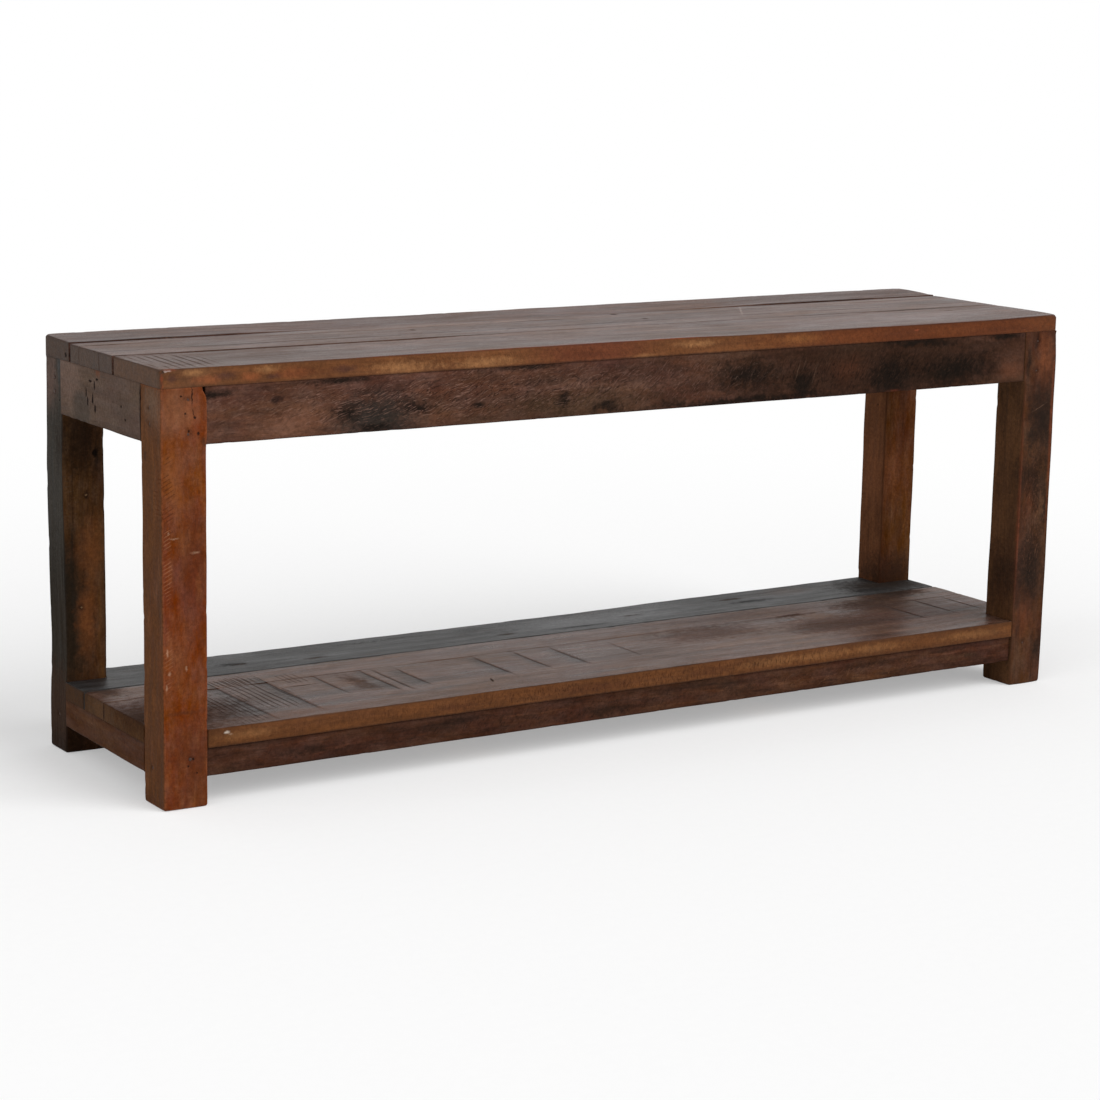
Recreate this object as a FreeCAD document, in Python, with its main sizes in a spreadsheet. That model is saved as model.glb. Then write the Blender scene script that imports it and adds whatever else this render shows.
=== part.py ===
import FreeCAD, Part
import os
import re
import Sketcher

# A low wooden bench with a storage shelf, made of old boards.
# Four square legs carry a ring of aprons under the seat and a ring of lower rails
# under the shelf. Every apron and rail ends in tenons that sit in mortises in the
# legs, and iron nails driven through the leg's cheeks pin them. Five planks make
# the seat and three boards make the shelf. Cross battens, end cleats and bearers
# hold the planks together from below with countersunk screws.
# The frame: X runs along the bench, -Y is the front, +Z is up, and the origin is
# on the floor under the middle of the bench.

doc = FreeCAD.newDocument("Bench")
sheet = doc.addObject("Spreadsheet::Sheet", "Sizes")

# Sizes in millimetres, each written once.
SIZES = [
    # the whole bench
    ("bench_length", 1194, "over the ends of the seat planks"),
    ("bench_depth", 304, "front to back"),
    ("seat_height", 460, "floor to the top of the front planks"),
    # seat planks, from the back to the front; the front plank takes what is left
    ("plank_thickness", 20, "front plank and the three strips"),
    ("back_plank_rise", 3, "the back plank is thicker by this and stands proud"),
    ("back_plank_width", 69, ""),
    ("narrow_strip_width", 23, ""),
    ("middle_strip_width", 53, ""),
    ("inner_strip_width", 33, ""),
    ("open_seam", 4.5, "gap on each side of the three strips"),
    ("tight_seam", 0.3, "gap between boards that close up"),
    ("arris_ease", 1, "flat worn along sharp edges"),
    # legs
    ("leg_width", 50, "along the bench"),
    ("front_leg_depth", 50, ""),
    ("back_leg_depth", 45, ""),
    # aprons under the seat
    ("apron_height", 60, ""),
    ("apron_thickness", 24, ""),
    ("apron_setback", 1, "front and back aprons behind the face of the legs"),
    # lower rails under the shelf
    ("rail_height", 31, ""),
    ("rail_thickness", 24, ""),
    ("rail_setback", 3, "front and back rails behind the face of the legs"),
    ("rail_clearance", 31, "floor to the underside of the rails"),
    # tenons of aprons and rails
    ("tenon_length", 26, ""),
    ("tenon_thickness", 8, ""),
    ("apron_shoulder", 8, "above and below an apron's tenon"),
    ("rail_shoulder", 6, "above and below a rail's tenon"),
    ("tenon_fit", 0.15, "play on each side of a tenon"),
    ("tenon_end_gap", 0.5, "room left at the bottom of a mortise"),
    # shelf boards, from the back to the front; the front board takes what is left
    ("shelf_thickness", 20, ""),
    ("back_board_width", 95, ""),
    ("shelf_seam", 1.5, "gap in front of the back board"),
    ("middle_board_width", 53, ""),
    ("leg_fit", 0.3, "play between a board's notch and the leg"),
    # battens and cleats under the seat
    ("batten_width", 45, ""),
    ("batten_thickness", 22, ""),
    ("batten_spacing", 400, "between the middles of the two battens"),
    ("stub_length", 10, "tenon at each end of a batten or bearer"),
    ("stub_shoulder", 5, "step all round that tenon"),
    ("cleat_width", 22, ""),
    ("cleat_end_gap", 0.5, "between the end of a cleat and the leg"),
    # bearers under the shelf
    ("bearer_width", 45, ""),
    ("bearer_spacing", 400, "between the middles of the two bearers"),
    # nails that pin the tenons
    ("nail_length", 34, ""),
    ("nail_radius", 1.4, ""),
    ("nail_head_radius", 2.3, ""),
    ("nail_head_thickness", 1, ""),
    ("nail_point", 4, "length of the tapered end"),
    ("nail_sink", 0.8, "head below the face of the wood"),
    ("nail_from_shoulder", 20, "nail to the shoulder of its tenon"),
    ("apron_nail_spread", 36, "between the two nails of a front or back apron"),
    ("side_nail_spread", 16, "between the two nails of a side apron"),
    ("rail_nail_step", 6, "rail nails above and below the middle of a rail"),
    # screws that hold the boards
    ("seat_screw_length", 36, ""),
    ("shelf_screw_length", 45, ""),
    ("screw_radius", 2, ""),
    ("screw_head_radius", 4, ""),
    ("screw_head_depth", 2.6, "the cone under the head"),
    ("screw_rim", 0.4, "thickness of the head at its edge"),
    ("screw_point", 6, ""),
    ("screw_sink", 0.5, "head below the face of the wood"),
    ("slot_width", 1, ""),
    ("slot_depth", 1.2, ""),
    ("cleat_screw_reach", 48, "cleat screws each side of the middle"),
    ("drill_play", 0.1, "between a nail or screw and the wood"),
]

for row, (alias, value, note) in enumerate(SIZES, start=1):
    sheet.set("A%d" % row, alias)
    sheet.set("B%d" % row, str(value))
    sheet.setAlias("B%d" % row, alias)
    sheet.set("C%d" % row, note)
doc.recompute()

# Places that follow from the sizes.
RULES = {
    "half_length": "bench_length / 2",
    "half_depth": "bench_depth / 2",
    "leg_height": "seat_height - plank_thickness",
    "span_x": "bench_length - 2 * leg_width",
    "span_y": "bench_depth - front_leg_depth - back_leg_depth",
    "span_front": "-half_depth + front_leg_depth",
    "span_left": "-half_length + leg_width",
    "apron_bottom": "leg_height - apron_height",
    "apron_tenon": "apron_height - 2 * apron_shoulder",
    "rail_tenon": "rail_height - 2 * rail_shoulder",
    "shelf_bottom": "rail_clearance + rail_height",
    "mortise_depth": "tenon_length + tenon_end_gap",
    "stub_depth": "stub_length + tenon_end_gap",
    # front edges of the seat planks
    "back_plank_front": "half_depth - back_plank_width",
    "narrow_front": "back_plank_front - open_seam - narrow_strip_width",
    "middle_front": "narrow_front - tight_seam - middle_strip_width",
    "inner_front": "middle_front - tight_seam - inner_strip_width",
    "front_plank_back": "inner_front - open_seam",
    # front edges of the shelf boards
    "back_board_front": "half_depth - back_board_width",
    "middle_board_front": "back_board_front - shelf_seam - middle_board_width",
    "front_board_back": "middle_board_front - tight_seam",
    # inner faces of the aprons and rails
    "apron_inner": "half_depth - apron_setback - apron_thickness",
    "rail_inner": "half_depth - rail_setback - rail_thickness",
    "apron_middle": "apron_bottom + apron_height / 2",
    "rail_middle": "rail_clearance + rail_height / 2",
    "nail_inset_x": "half_length - leg_width + nail_from_shoulder",
    "nail_inset_front": "half_depth - front_leg_depth + nail_from_shoulder",
    "nail_inset_back": "half_depth - back_leg_depth + nail_from_shoulder",
    "cleat_middle": "half_length - apron_thickness - cleat_width / 2",
    "cleat_inner": "half_length - apron_thickness - cleat_width",
    "cleat_height": "leg_height - batten_thickness / 2",
    "side_rail_middle": "half_length - rail_thickness / 2",
}
ALIASES = {alias for alias, value, note in SIZES}

# Lengths or directions that differ by less than this count as the same.
SAME = 1e-6


def formula(text):
    """Writes out every rule and every named size in an expression."""
    def written(match):
        word = match.group(0)
        if word in RULES:
            return "(" + formula(RULES[word]) + ")"
        if word in ALIASES:
            return "Sizes." + word
        raise KeyError("no size is named " + word)
    return re.sub(r"[a-z_]+", written, text)


def evaluate(text):
    """The value of an expression at the present sizes."""
    return float(sheet.evalExpression(formula(text)))


def bind(thing, **sizes):
    """Binds properties of a feature to expressions in the named sizes."""
    for name, text in sizes.items():
        thing.setExpression(name, formula(text))


def place(thing, corner):
    """Binds the place of a feature or a body to three expressions."""
    for axis, text in zip("xyz", corner):
        thing.setExpression("Placement.Base." + axis, formula(text))


def new_body(label):
    body = doc.addObject("PartDesign::Body", label)
    body.Label = label
    return body


def block(body, kind, name, corner, size):
    """A box added to or taken from a body, with its lowest corner and three sides."""
    box = body.newObject("PartDesign::%sBox" % kind, name)
    bind(box, Length=size[0], Width=size[1], Height=size[2])
    place(box, corner)
    return box


def drawn(body, name, plane, points):
    """A closed outline of straight lines whose corners are bound to expressions."""
    sketch = body.newObject("Sketcher::SketchObject", name)
    origin_plane = [f for f in body.Origin.OriginFeatures if f.Role == plane][0]
    sketch.AttachmentSupport = [(origin_plane, "")]
    sketch.MapMode = "FlatFace"
    values = [(evaluate(x), evaluate(y)) for x, y in points]
    ends = values[1:] + values[:1]
    for (x0, y0), (x1, y1) in zip(values, ends):
        start, end = FreeCAD.Vector(x0, y0, 0), FreeCAD.Vector(x1, y1, 0)
        sketch.addGeometry(Part.LineSegment(start, end), False)
    count = len(points)
    for k in range(count):
        sketch.addConstraint(Sketcher.Constraint("Coincident", k, 2, (k + 1) % count, 1))
    for k, (x, y) in enumerate(points):
        for kind, text, value, axis in (("DistanceX", x, values[k][0], -2),
                                        ("DistanceY", y, values[k][1], -1)):
            if text == "0":
                sketch.addConstraint(Sketcher.Constraint("PointOnObject", k, 1, axis))
                continue
            number = sketch.addConstraint(Sketcher.Constraint(kind, -1, 1, k, 1, value))
            sketch.setExpression("Constraints[%d]" % number, formula(text))
    return sketch


def pad(body, sketch, thickness):
    feature = body.newObject("PartDesign::Pad", "thickness")
    feature.Profile = sketch
    bind(feature, Length=thickness)
    return feature


def along(edge, direction):
    """True where a straight edge runs along a direction."""
    start, end = edge.Vertexes[0].Point, edge.Vertexes[-1].Point
    run = (end - start).normalize()
    return abs(abs(run.dot(direction)) - 1) < SAME


def lowest(edge):
    """True for an edge in the floor plane of its own piece."""
    return edge.BoundBox.ZMax < SAME


def ease(body, feature, chosen, name):
    """A small chamfer on the edges of a feature that a test picks out."""
    feature.recompute(True)
    names = ["Edge%d" % (k + 1) for k, edge in enumerate(feature.Shape.Edges) if chosen(edge)]
    chamfer = body.newObject("PartDesign::Chamfer", name)
    chamfer.Base = (feature, names)
    bind(chamfer, Size="arris_ease")
    body.Tip = chamfer
    return chamfer


X_AXIS, Y_AXIS, Z_AXIS = FreeCAD.Vector(1, 0, 0), FreeCAD.Vector(0, 1, 0), FreeCAD.Vector(0, 0, 1)
sub_parts = {}


# Legs: a square post with four mortises, two for the aprons and two for the rails.
# Long tenons come in from the side face, short ones from the front or back face, and
# each stays clear of the other because both lie near the outside of the post.
def leg(side, row):
    label = "%s_%s_leg" % (row, side)
    depth = row + "_leg_depth"
    body = new_body(label + "_blank")
    post = block(body, "Additive", "post", ("0", "0", "0"), ("leg_width", depth, "leg_height"))
    ease(body, post, lambda edge: along(edge, Z_AXIS) or lowest(edge), "worn_arrises")
    inward_x = "leg_width - mortise_depth" if side == "left" else "0"
    inward_y = depth + " - mortise_depth" if row == "front" else "0"
    members = (
        ("apron", "apron_bottom", "apron_shoulder", "apron_tenon"),
        ("rail", "rail_clearance", "rail_shoulder", "rail_tenon"),
    )
    for member, bottom, shoulder, tall in members:
        cheek = "(%s_thickness - tenon_thickness) / 2 - tenon_fit" % member
        far_cheek = "(%s_thickness + tenon_thickness) / 2 + tenon_fit" % member
        foot = "%s + %s - tenon_fit" % (bottom, shoulder)
        wide, high = "tenon_thickness + 2 * tenon_fit", tall + " + 2 * tenon_fit"
        if row == "front":
            from_face = "%s_setback + %s" % (member, cheek)
        else:
            from_face = "%s - %s_setback - (%s)" % (depth, member, far_cheek)
        from_end = cheek if side == "left" else "leg_width - (%s)" % far_cheek
        block(body, "Subtractive", "long_%s_mortise" % member,
              (inward_x, from_face, foot), ("mortise_depth", wide, high))
        block(body, "Subtractive", "side_%s_mortise" % member,
              (from_end, inward_y, foot), (wide, "mortise_depth", high))
    corner_x = "-half_length" if side == "left" else "half_length - leg_width"
    corner_y = "-half_depth" if row == "front" else "half_depth - back_leg_depth"
    place(body, (corner_x, corner_y, "0"))
    return label, body


# Aprons and lower rails: a board between two legs with a tenon at each end.
def long_member(row, member, bottom):
    """Front or back apron or rail, along the bench."""
    label = "%s_%s" % (row, member)
    thick, tall = member + "_thickness", member + "_height"
    body = new_body(label + "_blank")
    board = block(body, "Additive", "board", ("0", "0", "0"), ("span_x", thick, tall))
    ease(body, board, lambda edge: along(edge, X_AXIS) and lowest(edge), "worn_arrises")
    block(body, "Additive", "tenons",
          ("-tenon_length", "(%s - tenon_thickness) / 2" % thick, member + "_shoulder"),
          ("span_x + 2 * tenon_length", "tenon_thickness", member + "_tenon"))
    if row == "front":
        corner_y = "-half_depth + %s_setback" % member
    else:
        corner_y = "half_depth - %s_setback - %s" % (member, thick)
    place(body, ("span_left", corner_y, bottom))
    return label, body


def side_member(side, member, bottom):
    """Left or right apron or rail, across the end of the bench, flush with the legs."""
    label = "%s_%s" % (side, member)
    thick, tall = member + "_thickness", member + "_height"
    body = new_body(label + "_blank")
    board = block(body, "Additive", "board", ("0", "0", "0"), (thick, "span_y", tall))
    ease(body, board, lambda edge: along(edge, Y_AXIS) and lowest(edge), "worn_arrises")
    block(body, "Additive", "tenons",
          ("(%s - tenon_thickness) / 2" % thick, "-tenon_length", member + "_shoulder"),
          ("tenon_thickness", "span_y + 2 * tenon_length", member + "_tenon"))
    corner_x = "-half_length" if side == "left" else "half_length - " + thick
    place(body, (corner_x, "span_front", bottom))
    return label, body


def cross_mortises(body, row, member, width, spacing, thickness, drop):
    """Blind mortises in a long apron or rail for the two battens or bearers."""
    inner = "0" if row == "back" else member + "_thickness - stub_depth"
    for hand in ("-1", "1"):
        middle = "span_x / 2 + (%s) * %s / 2" % (hand, spacing)
        block(body, "Subtractive", "cross_mortise",
              ("%s - %s / 2 + stub_shoulder - tenon_fit" % (middle, width), inner,
               "%s + stub_shoulder - tenon_fit" % drop),
              ("%s - 2 * stub_shoulder + 2 * tenon_fit" % width, "stub_depth",
               "%s - 2 * stub_shoulder + 2 * tenon_fit" % thickness))


# Battens under the seat and bearers under the shelf: they reach from the front member
# to the back one, with a stub tenon at each end.
def cross_member(label, hand, spacing, width, thickness, inner, bottom):
    body = new_body(label + "_blank")
    block(body, "Additive", "board", ("0", "0", "0"), (width, "2 * " + inner, thickness))
    block(body, "Additive", "stub_tenons",
          ("stub_shoulder", "-stub_length", "stub_shoulder"),
          (width + " - 2 * stub_shoulder", "2 * %s + 2 * stub_length" % inner,
           thickness + " - 2 * stub_shoulder"))
    place(body, ("(%s) * %s / 2 - %s / 2" % (hand, spacing, width), "-(%s)" % inner, bottom))
    return label, body


# End cleats: a square stick screwed to the inside of each side apron.
def cleat(side):
    label = side + "_cleat"
    body = new_body(label + "_blank")
    block(body, "Additive", "board", ("0", "0", "0"),
          ("cleat_width", "span_y - 2 * cleat_end_gap", "batten_thickness"))
    corner_x = "-half_length + apron_thickness" if side == "left" else "cleat_inner"
    place(body, (corner_x, "span_front + cleat_end_gap", "leg_height - batten_thickness"))
    return label, body


# Seat planks and shelf boards: an outline seen from above, padded to its thickness,
# with the sharp edges of the upper face taken off.
def board(label, outline, thickness, front, bottom):
    body = new_body(label + "_blank")
    sketch = drawn(body, "outline", "XY_Plane", outline)
    face = pad(body, sketch, thickness)
    top = evaluate(thickness)
    ease(body, face, lambda edge: edge.BoundBox.ZMin > top - SAME, "worn_arrises")
    place(body, ("-half_length", front, bottom))
    return label, body


def plain_outline(width):
    return [("0", "0"), ("bench_length", "0"), ("bench_length", width), ("0", width)]


NOTCH_X = "leg_width + leg_fit"
FAR_NOTCH_X = "bench_length - leg_width - leg_fit"


def front_notched_outline(width):
    notch = "front_leg_depth + leg_fit"
    return [
        (NOTCH_X, "0"), (FAR_NOTCH_X, "0"), (FAR_NOTCH_X, notch), ("bench_length", notch),
        ("bench_length", width), ("0", width), ("0", notch), (NOTCH_X, notch),
    ]


def back_notched_outline(width):
    notch = "%s - back_leg_depth - leg_fit" % width
    return [
        ("0", "0"), ("bench_length", "0"), ("bench_length", notch), (FAR_NOTCH_X, notch),
        (FAR_NOTCH_X, width), (NOTCH_X, width), (NOTCH_X, notch), ("0", notch),
    ]


# Nails and screws: turned about their own axis, which points the way they are driven,
# with the face of the wood at zero. The holes have the same profile with some play.
def turned(label, profile):
    body = new_body(label)
    sketch = drawn(body, "profile", "XZ_Plane", profile)
    turn = body.newObject("PartDesign::Revolution", "turned")
    turn.Profile = sketch
    turn.ReferenceAxis = (sketch, ["V_Axis"])
    turn.Angle = 360
    return body


def nail_profile(face, play):
    shoulder = "nail_sink + nail_head_thickness + " + play
    return [
        ("0", face), ("nail_head_radius + " + play, face), ("nail_head_radius + " + play, shoulder),
        ("nail_radius + " + play, shoulder), ("nail_radius + " + play, "nail_length - nail_point"),
        ("0", "nail_length + " + play),
    ]


def screw_profile(length, face, play):
    rim = "screw_sink + screw_rim + " + play
    return [
        ("0", face), ("screw_head_radius + " + play, face), ("screw_head_radius + " + play, rim),
        ("screw_radius + " + play, rim + " + screw_head_depth"),
        ("screw_radius + " + play, length + " - screw_point"), ("0", "%s + %s" % (length, play)),
    ]


def screw_and_hole(label, length):
    """A countersunk screw with a slot across its head, and the hole that it cuts."""
    screw = turned(label, screw_profile(length, "screw_sink", "0"))
    block(screw, "Subtractive", "slot",
          ("-screw_head_radius", "-slot_width / 2", "0"),
          ("2 * screw_head_radius", "slot_width", "screw_sink + slot_depth"))
    return screw, turned(label + "_hole", screw_profile(length, "0", "drill_play"))


nail = turned("nail", nail_profile("nail_sink", "0"))
nail_hole = turned("nail_hole", nail_profile("0", "drill_play"))
seat_screw, seat_screw_hole = screw_and_hole("seat_screw", "seat_screw_length")
shelf_screw, shelf_screw_hole = screw_and_hole("shelf_screw", "shelf_screw_length")

blanks = {}
holes = {}
fasteners = {}


def keep(made):
    label, body = made
    blanks[label] = body
    holes[label] = []


def drive(group, pattern, hole, spot, direction, through):
    """Puts one nail or screw in a group, and its hole in each piece that it goes through."""
    turn = FreeCAD.Rotation(Z_AXIS, direction)
    for source, name in ((pattern, group), (hole, group + "_hole")):
        link = doc.addObject("App::Link", name)
        link.LinkedObject = source
        link.LinkTransform = False
        link.Placement = FreeCAD.Placement(FreeCAD.Vector(), turn)
        place(link, spot)
        if source is pattern:
            fasteners.setdefault(group, []).append(link)
        else:
            for label in through:
                holes[label].append(link)


# The frame
for row in ("front", "back"):
    for side in ("left", "right"):
        keep(leg(side, row))
for row in ("front", "back"):
    keep(long_member(row, "apron", "apron_bottom"))
    cross_mortises(blanks[row + "_apron"], row, "apron", "batten_width", "batten_spacing",
                   "batten_thickness", "apron_height - batten_thickness")
    keep(long_member(row, "rail", "rail_clearance"))
    cross_mortises(blanks[row + "_rail"], row, "rail", "bearer_width", "bearer_spacing",
                   "rail_height", "0")
for side in ("left", "right"):
    keep(side_member(side, "apron", "apron_bottom"))
    keep(side_member(side, "rail", "rail_clearance"))
    keep(cleat(side))
for side, hand in (("left", "-1"), ("right", "1")):
    keep(cross_member(side + "_batten", hand, "batten_spacing", "batten_width", "batten_thickness",
                      "apron_inner", "leg_height - batten_thickness"))
    keep(cross_member(side + "_bearer", hand, "bearer_spacing", "bearer_width", "rail_height",
                      "rail_inner", "rail_clearance"))

# The seat
keep(board("back_plank", plain_outline("back_plank_width"), "plank_thickness + back_plank_rise",
           "back_plank_front", "leg_height"))
for name in ("narrow", "middle", "inner"):
    keep(board(name + "_strip", plain_outline(name + "_strip_width"), "plank_thickness",
               name + "_front", "leg_height"))
keep(board("front_plank", plain_outline("front_plank_back + half_depth"), "plank_thickness",
           "-half_depth", "leg_height"))

# The shelf
keep(board("front_shelf_board", front_notched_outline("(front_board_back + half_depth)"),
           "shelf_thickness", "-half_depth", "shelf_bottom"))
keep(board("middle_shelf_board", plain_outline("middle_board_width"), "shelf_thickness",
           "middle_board_front", "shelf_bottom"))
keep(board("back_shelf_board", back_notched_outline("back_board_width"), "shelf_thickness",
           "back_board_front", "shelf_bottom"))

# Nails through the legs into the tenons. Those of the long members are driven from the
# front or the back, those of the side members from the ends, at other heights.
for row, face, inward in (("front", "-half_depth", Y_AXIS), ("back", "half_depth", -Y_AXIS)):
    for side, hand, end_inward in (("left", "-1", X_AXIS), ("right", "1", -X_AXIS)):
        post = "%s_%s_leg" % (row, side)
        across = "(%s) * (nail_inset_x)" % hand
        forward = "-(nail_inset_front)" if row == "front" else "nail_inset_back"
        end_face = "(%s) * half_length" % hand
        for step in ("-1", "1"):
            drive("apron_nails", nail, nail_hole,
                  (across, face, "apron_middle + (%s) * apron_nail_spread / 2" % step),
                  inward, (post, row + "_apron"))
            drive("apron_nails", nail, nail_hole,
                  (end_face, forward, "apron_middle + (%s) * side_nail_spread / 2" % step),
                  end_inward, (post, side + "_apron"))
        drive("rail_nails", nail, nail_hole, (across, face, "rail_middle + rail_nail_step"),
              inward, (post, row + "_rail"))
        drive("rail_nails", nail, nail_hole, (end_face, forward, "rail_middle - rail_nail_step"),
              end_inward, (post, side + "_rail"))

# Screws up through the battens and cleats into each seat plank.
plank_screws = (
    ("back_plank", "(back_plank_front + half_depth - back_leg_depth) / 2"),
    ("narrow_strip", "narrow_front + narrow_strip_width / 2"),
    ("middle_strip", "middle_front + middle_strip_width / 2"),
    ("inner_strip", "inner_front + inner_strip_width / 2"),
    ("front_plank", "(front_plank_back + span_front) / 2"),
)
for side, hand in (("left", "-1"), ("right", "1")):
    for member, across in (("batten", "batten_spacing / 2"), ("cleat", "cleat_middle")):
        for plank, forward in plank_screws:
            drive("seat_screws", seat_screw, seat_screw_hole,
                  ("(%s) * (%s)" % (hand, across), forward, "leg_height - batten_thickness"),
                  Z_AXIS, (side + "_" + member, plank))

# Two screws through each cleat into its side apron.
for side, hand, outward in (("left", "-1", -X_AXIS), ("right", "1", X_AXIS)):
    for reach in ("-1", "1"):
        drive("cleat_screws", seat_screw, seat_screw_hole,
              ("(%s) * (cleat_inner)" % hand, "(%s) * cleat_screw_reach" % reach, "cleat_height"),
              outward, (side + "_cleat", side + "_apron"))

# Screws up through the bearers and the side rails into each shelf board.
board_screws = (
    ("back_shelf_board", "(back_board_front + half_depth - back_leg_depth) / 2"),
    ("middle_shelf_board", "middle_board_front + middle_board_width / 2"),
    ("front_shelf_board", "(front_board_back + span_front) / 2"),
)
for side, hand in (("left", "-1"), ("right", "1")):
    for member, across in (("bearer", "bearer_spacing / 2"), ("rail", "side_rail_middle")):
        for plank, forward in board_screws:
            drive("shelf_screws", shelf_screw, shelf_screw_hole,
                  ("(%s) * (%s)" % (hand, across), forward, "rail_clearance"),
                  Z_AXIS, (side + "_" + member, plank))

# Each piece is its blank less the holes drilled in it.
for label, body in blanks.items():
    if not holes[label]:
        body.Label = label
        sub_parts[label] = body
        continue
    drills = doc.addObject("Part::Compound", label + "_holes")
    drills.Links = holes[label]
    piece = doc.addObject("Part::Cut", label)
    piece.Base = body
    piece.Tool = drills
    piece.Label = label
    sub_parts[label] = piece

# Each kind of nail or screw is one group of separate solids.
for label, links in fasteners.items():
    group = doc.addObject("Part::Compound", label)
    group.Links = links
    group.Label = label
    sub_parts[label] = group

doc.recompute()

for thing in doc.Objects:
    if "Invalid" in thing.State or "Error" in thing.State:
        raise RuntimeError("%s failed: %s" % (thing.Label, thing.State))
for label, thing in sub_parts.items():
    if thing.Shape.isNull() or not thing.Shape.isValid() or not thing.Shape.Solids:
        raise RuntimeError("%s has no sound shape" % label)
    expected = len(fasteners.get(label, [0]))
    if len(thing.Shape.Solids) != expected:
        raise RuntimeError("%s came out in %d solids" % (label, len(thing.Shape.Solids)))

os.makedirs("parts", exist_ok=True)
for label, thing in sub_parts.items():
    thing.Shape.exportStep("parts/%s.step" % label)
print("%d sub-parts written" % len(sub_parts))
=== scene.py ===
import math

import bpy
import numpy as np
from mathutils import Matrix, Vector


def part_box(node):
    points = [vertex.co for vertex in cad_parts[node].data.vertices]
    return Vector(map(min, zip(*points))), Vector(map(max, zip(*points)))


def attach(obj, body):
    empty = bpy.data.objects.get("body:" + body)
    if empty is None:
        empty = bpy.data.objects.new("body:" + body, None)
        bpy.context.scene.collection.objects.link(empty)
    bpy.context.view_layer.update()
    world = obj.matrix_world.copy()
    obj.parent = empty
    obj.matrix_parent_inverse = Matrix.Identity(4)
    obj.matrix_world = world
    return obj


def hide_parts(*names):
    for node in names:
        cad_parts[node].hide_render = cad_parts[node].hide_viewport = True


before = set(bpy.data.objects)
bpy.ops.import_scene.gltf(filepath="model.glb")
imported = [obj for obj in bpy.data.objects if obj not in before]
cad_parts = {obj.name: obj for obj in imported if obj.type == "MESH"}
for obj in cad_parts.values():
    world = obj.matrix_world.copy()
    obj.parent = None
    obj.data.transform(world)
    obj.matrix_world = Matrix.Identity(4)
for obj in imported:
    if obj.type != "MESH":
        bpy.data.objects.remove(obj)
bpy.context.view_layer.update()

# Four legs: square posts cut down from old house beams, each from another, so that no two have
# the same colour. They stand on their sawn ends, use has worn their arrises round, and the iron
# nails that pin the tenons sit a little below the surface.

MM = 0.001
# The bench's outer faces and the tops of its seat and shelf, in millimetres, to place marks by.
LEFT, RIGHT, FRONT, BACK, SEAT, SHELF = -597, 597, -152, 152, 460, 82


def wander(seed, points, length):
    """Smooth values from about -1 to 1 that change over this length, the same for one seed."""
    rng = np.random.default_rng(seed)
    total = 0
    for _ in range(7):
        way = rng.normal(size=points.shape[-1])
        way *= math.tau / length * rng.uniform(0.5, 1.5) / np.linalg.norm(way)
        total = total + np.sin(points @ way + rng.uniform(0, math.tau))
    return np.clip(total / 3.5, -1, 1)


def through(where, *stations):
    """A line through stations (place, depth), level at each of them."""
    places, depths = np.array(stations, float).T
    k = np.clip(np.searchsorted(places, where) - 1, 0, len(places) - 2)
    t = np.clip((where - places[k]) / (places[k + 1] - places[k]), 0, 1)
    return depths[k] + (depths[k + 1] - depths[k]) * t * t * (3 - 2 * t)


def hollow(axis, *stations):
    """A hollow in a face, whose depth follows such a line along one axis of the bench."""
    return lambda *place: through(place["XYZ".index(axis)], *stations)


def grid_lines(low, high, step, near):
    """Places of the lines across one side of a timber, close together at its arrises and nails."""
    arris = np.array([0, 0.35, 0.8, 1.4, 2.2, 3.2, 4.5])
    between = np.linspace(low + arris[-1], high - arris[-1], max(2, int((high - low) / step)))
    around = [n + d for n in near for d in (-2.9, -2.3, -1.5, 0, 1.5, 2.3, 2.9)]
    every = np.concatenate([low + arris, high - arris, between, around])
    every = np.unique(np.round(every[(every >= low) & (every <= high)], 2))
    return every[np.concatenate([[True], np.diff(every) > 0.2])]


def skin(xs, ys, zs, solid):
    """The closed skin round the solid cells of a grid, as grid places and four-cornered faces."""
    faces = []

    def lay(i, j, k, turned):
        corners = [(a * len(ys) + b) * len(zs) + c for a, b, c in zip(i, j, k)]
        faces.append(np.stack(corners[::-1] if turned else corners, axis=-1).reshape(-1, 4))

    i, j = np.nonzero(solid)
    for k, turned in ((0, True), (len(zs) - 1, False)):
        lay((i, i + 1, i + 1, i), (j, j, j + 1, j + 1), (k, k, k, k), turned)
    padded = np.pad(solid, 1)
    for before, after, di, dj in ((padded[:-1, 1:-1], padded[1:, 1:-1], 0, 1),
                                  (padded[1:-1, :-1], padded[1:-1, 1:], 1, 0)):
        for wall, turned in ((before & ~after, di == 1), (after & ~before, di == 0)):
            i, j = np.nonzero(wall)
            i, j, k = np.broadcast_arrays(i[:, None], j[:, None], np.arange(len(zs) - 1))
            lay((i, i + di, i + di, i), (j, j + dj, j + dj, j), (k, k, k + 1, k + 1), turned)
    used, faces = np.unique(np.concatenate(faces), return_inverse=True)
    places = np.stack([xs[used // (len(ys) * len(zs))], ys[used // len(zs) % len(ys)],
                       zs[used % len(zs)]], axis=-1)
    return places, faces.reshape(-1, 4)


# The axis that each side of a timber faces along, and whether it is the far end.
SIDES = {"left": (0, 0), "right": (0, 1), "front": (1, 0), "back": (1, 1),
         "under": (2, 0), "upper": (2, 1)}


def outward(side):
    """The way a side faces."""
    axis, far_end = SIDES[side]
    return [(a == axis) * (1 if far_end else -1) for a in range(3)]


def rounded(places, low, high, radius):
    """Draws places that lie beyond a radius from the core, low to high, back to that radius."""
    core = np.clip(places, low, high)
    out = places - core
    far = np.linalg.norm(out, axis=1, keepdims=True)
    return np.where(far > radius, core + out / np.maximum(far, 0.01) * radius, places)


def set_down(name, data):
    """A new object in the scene, at the origin."""
    made = bpy.data.objects.new(name, data)
    bpy.context.scene.collection.objects.link(made)
    return made


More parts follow.
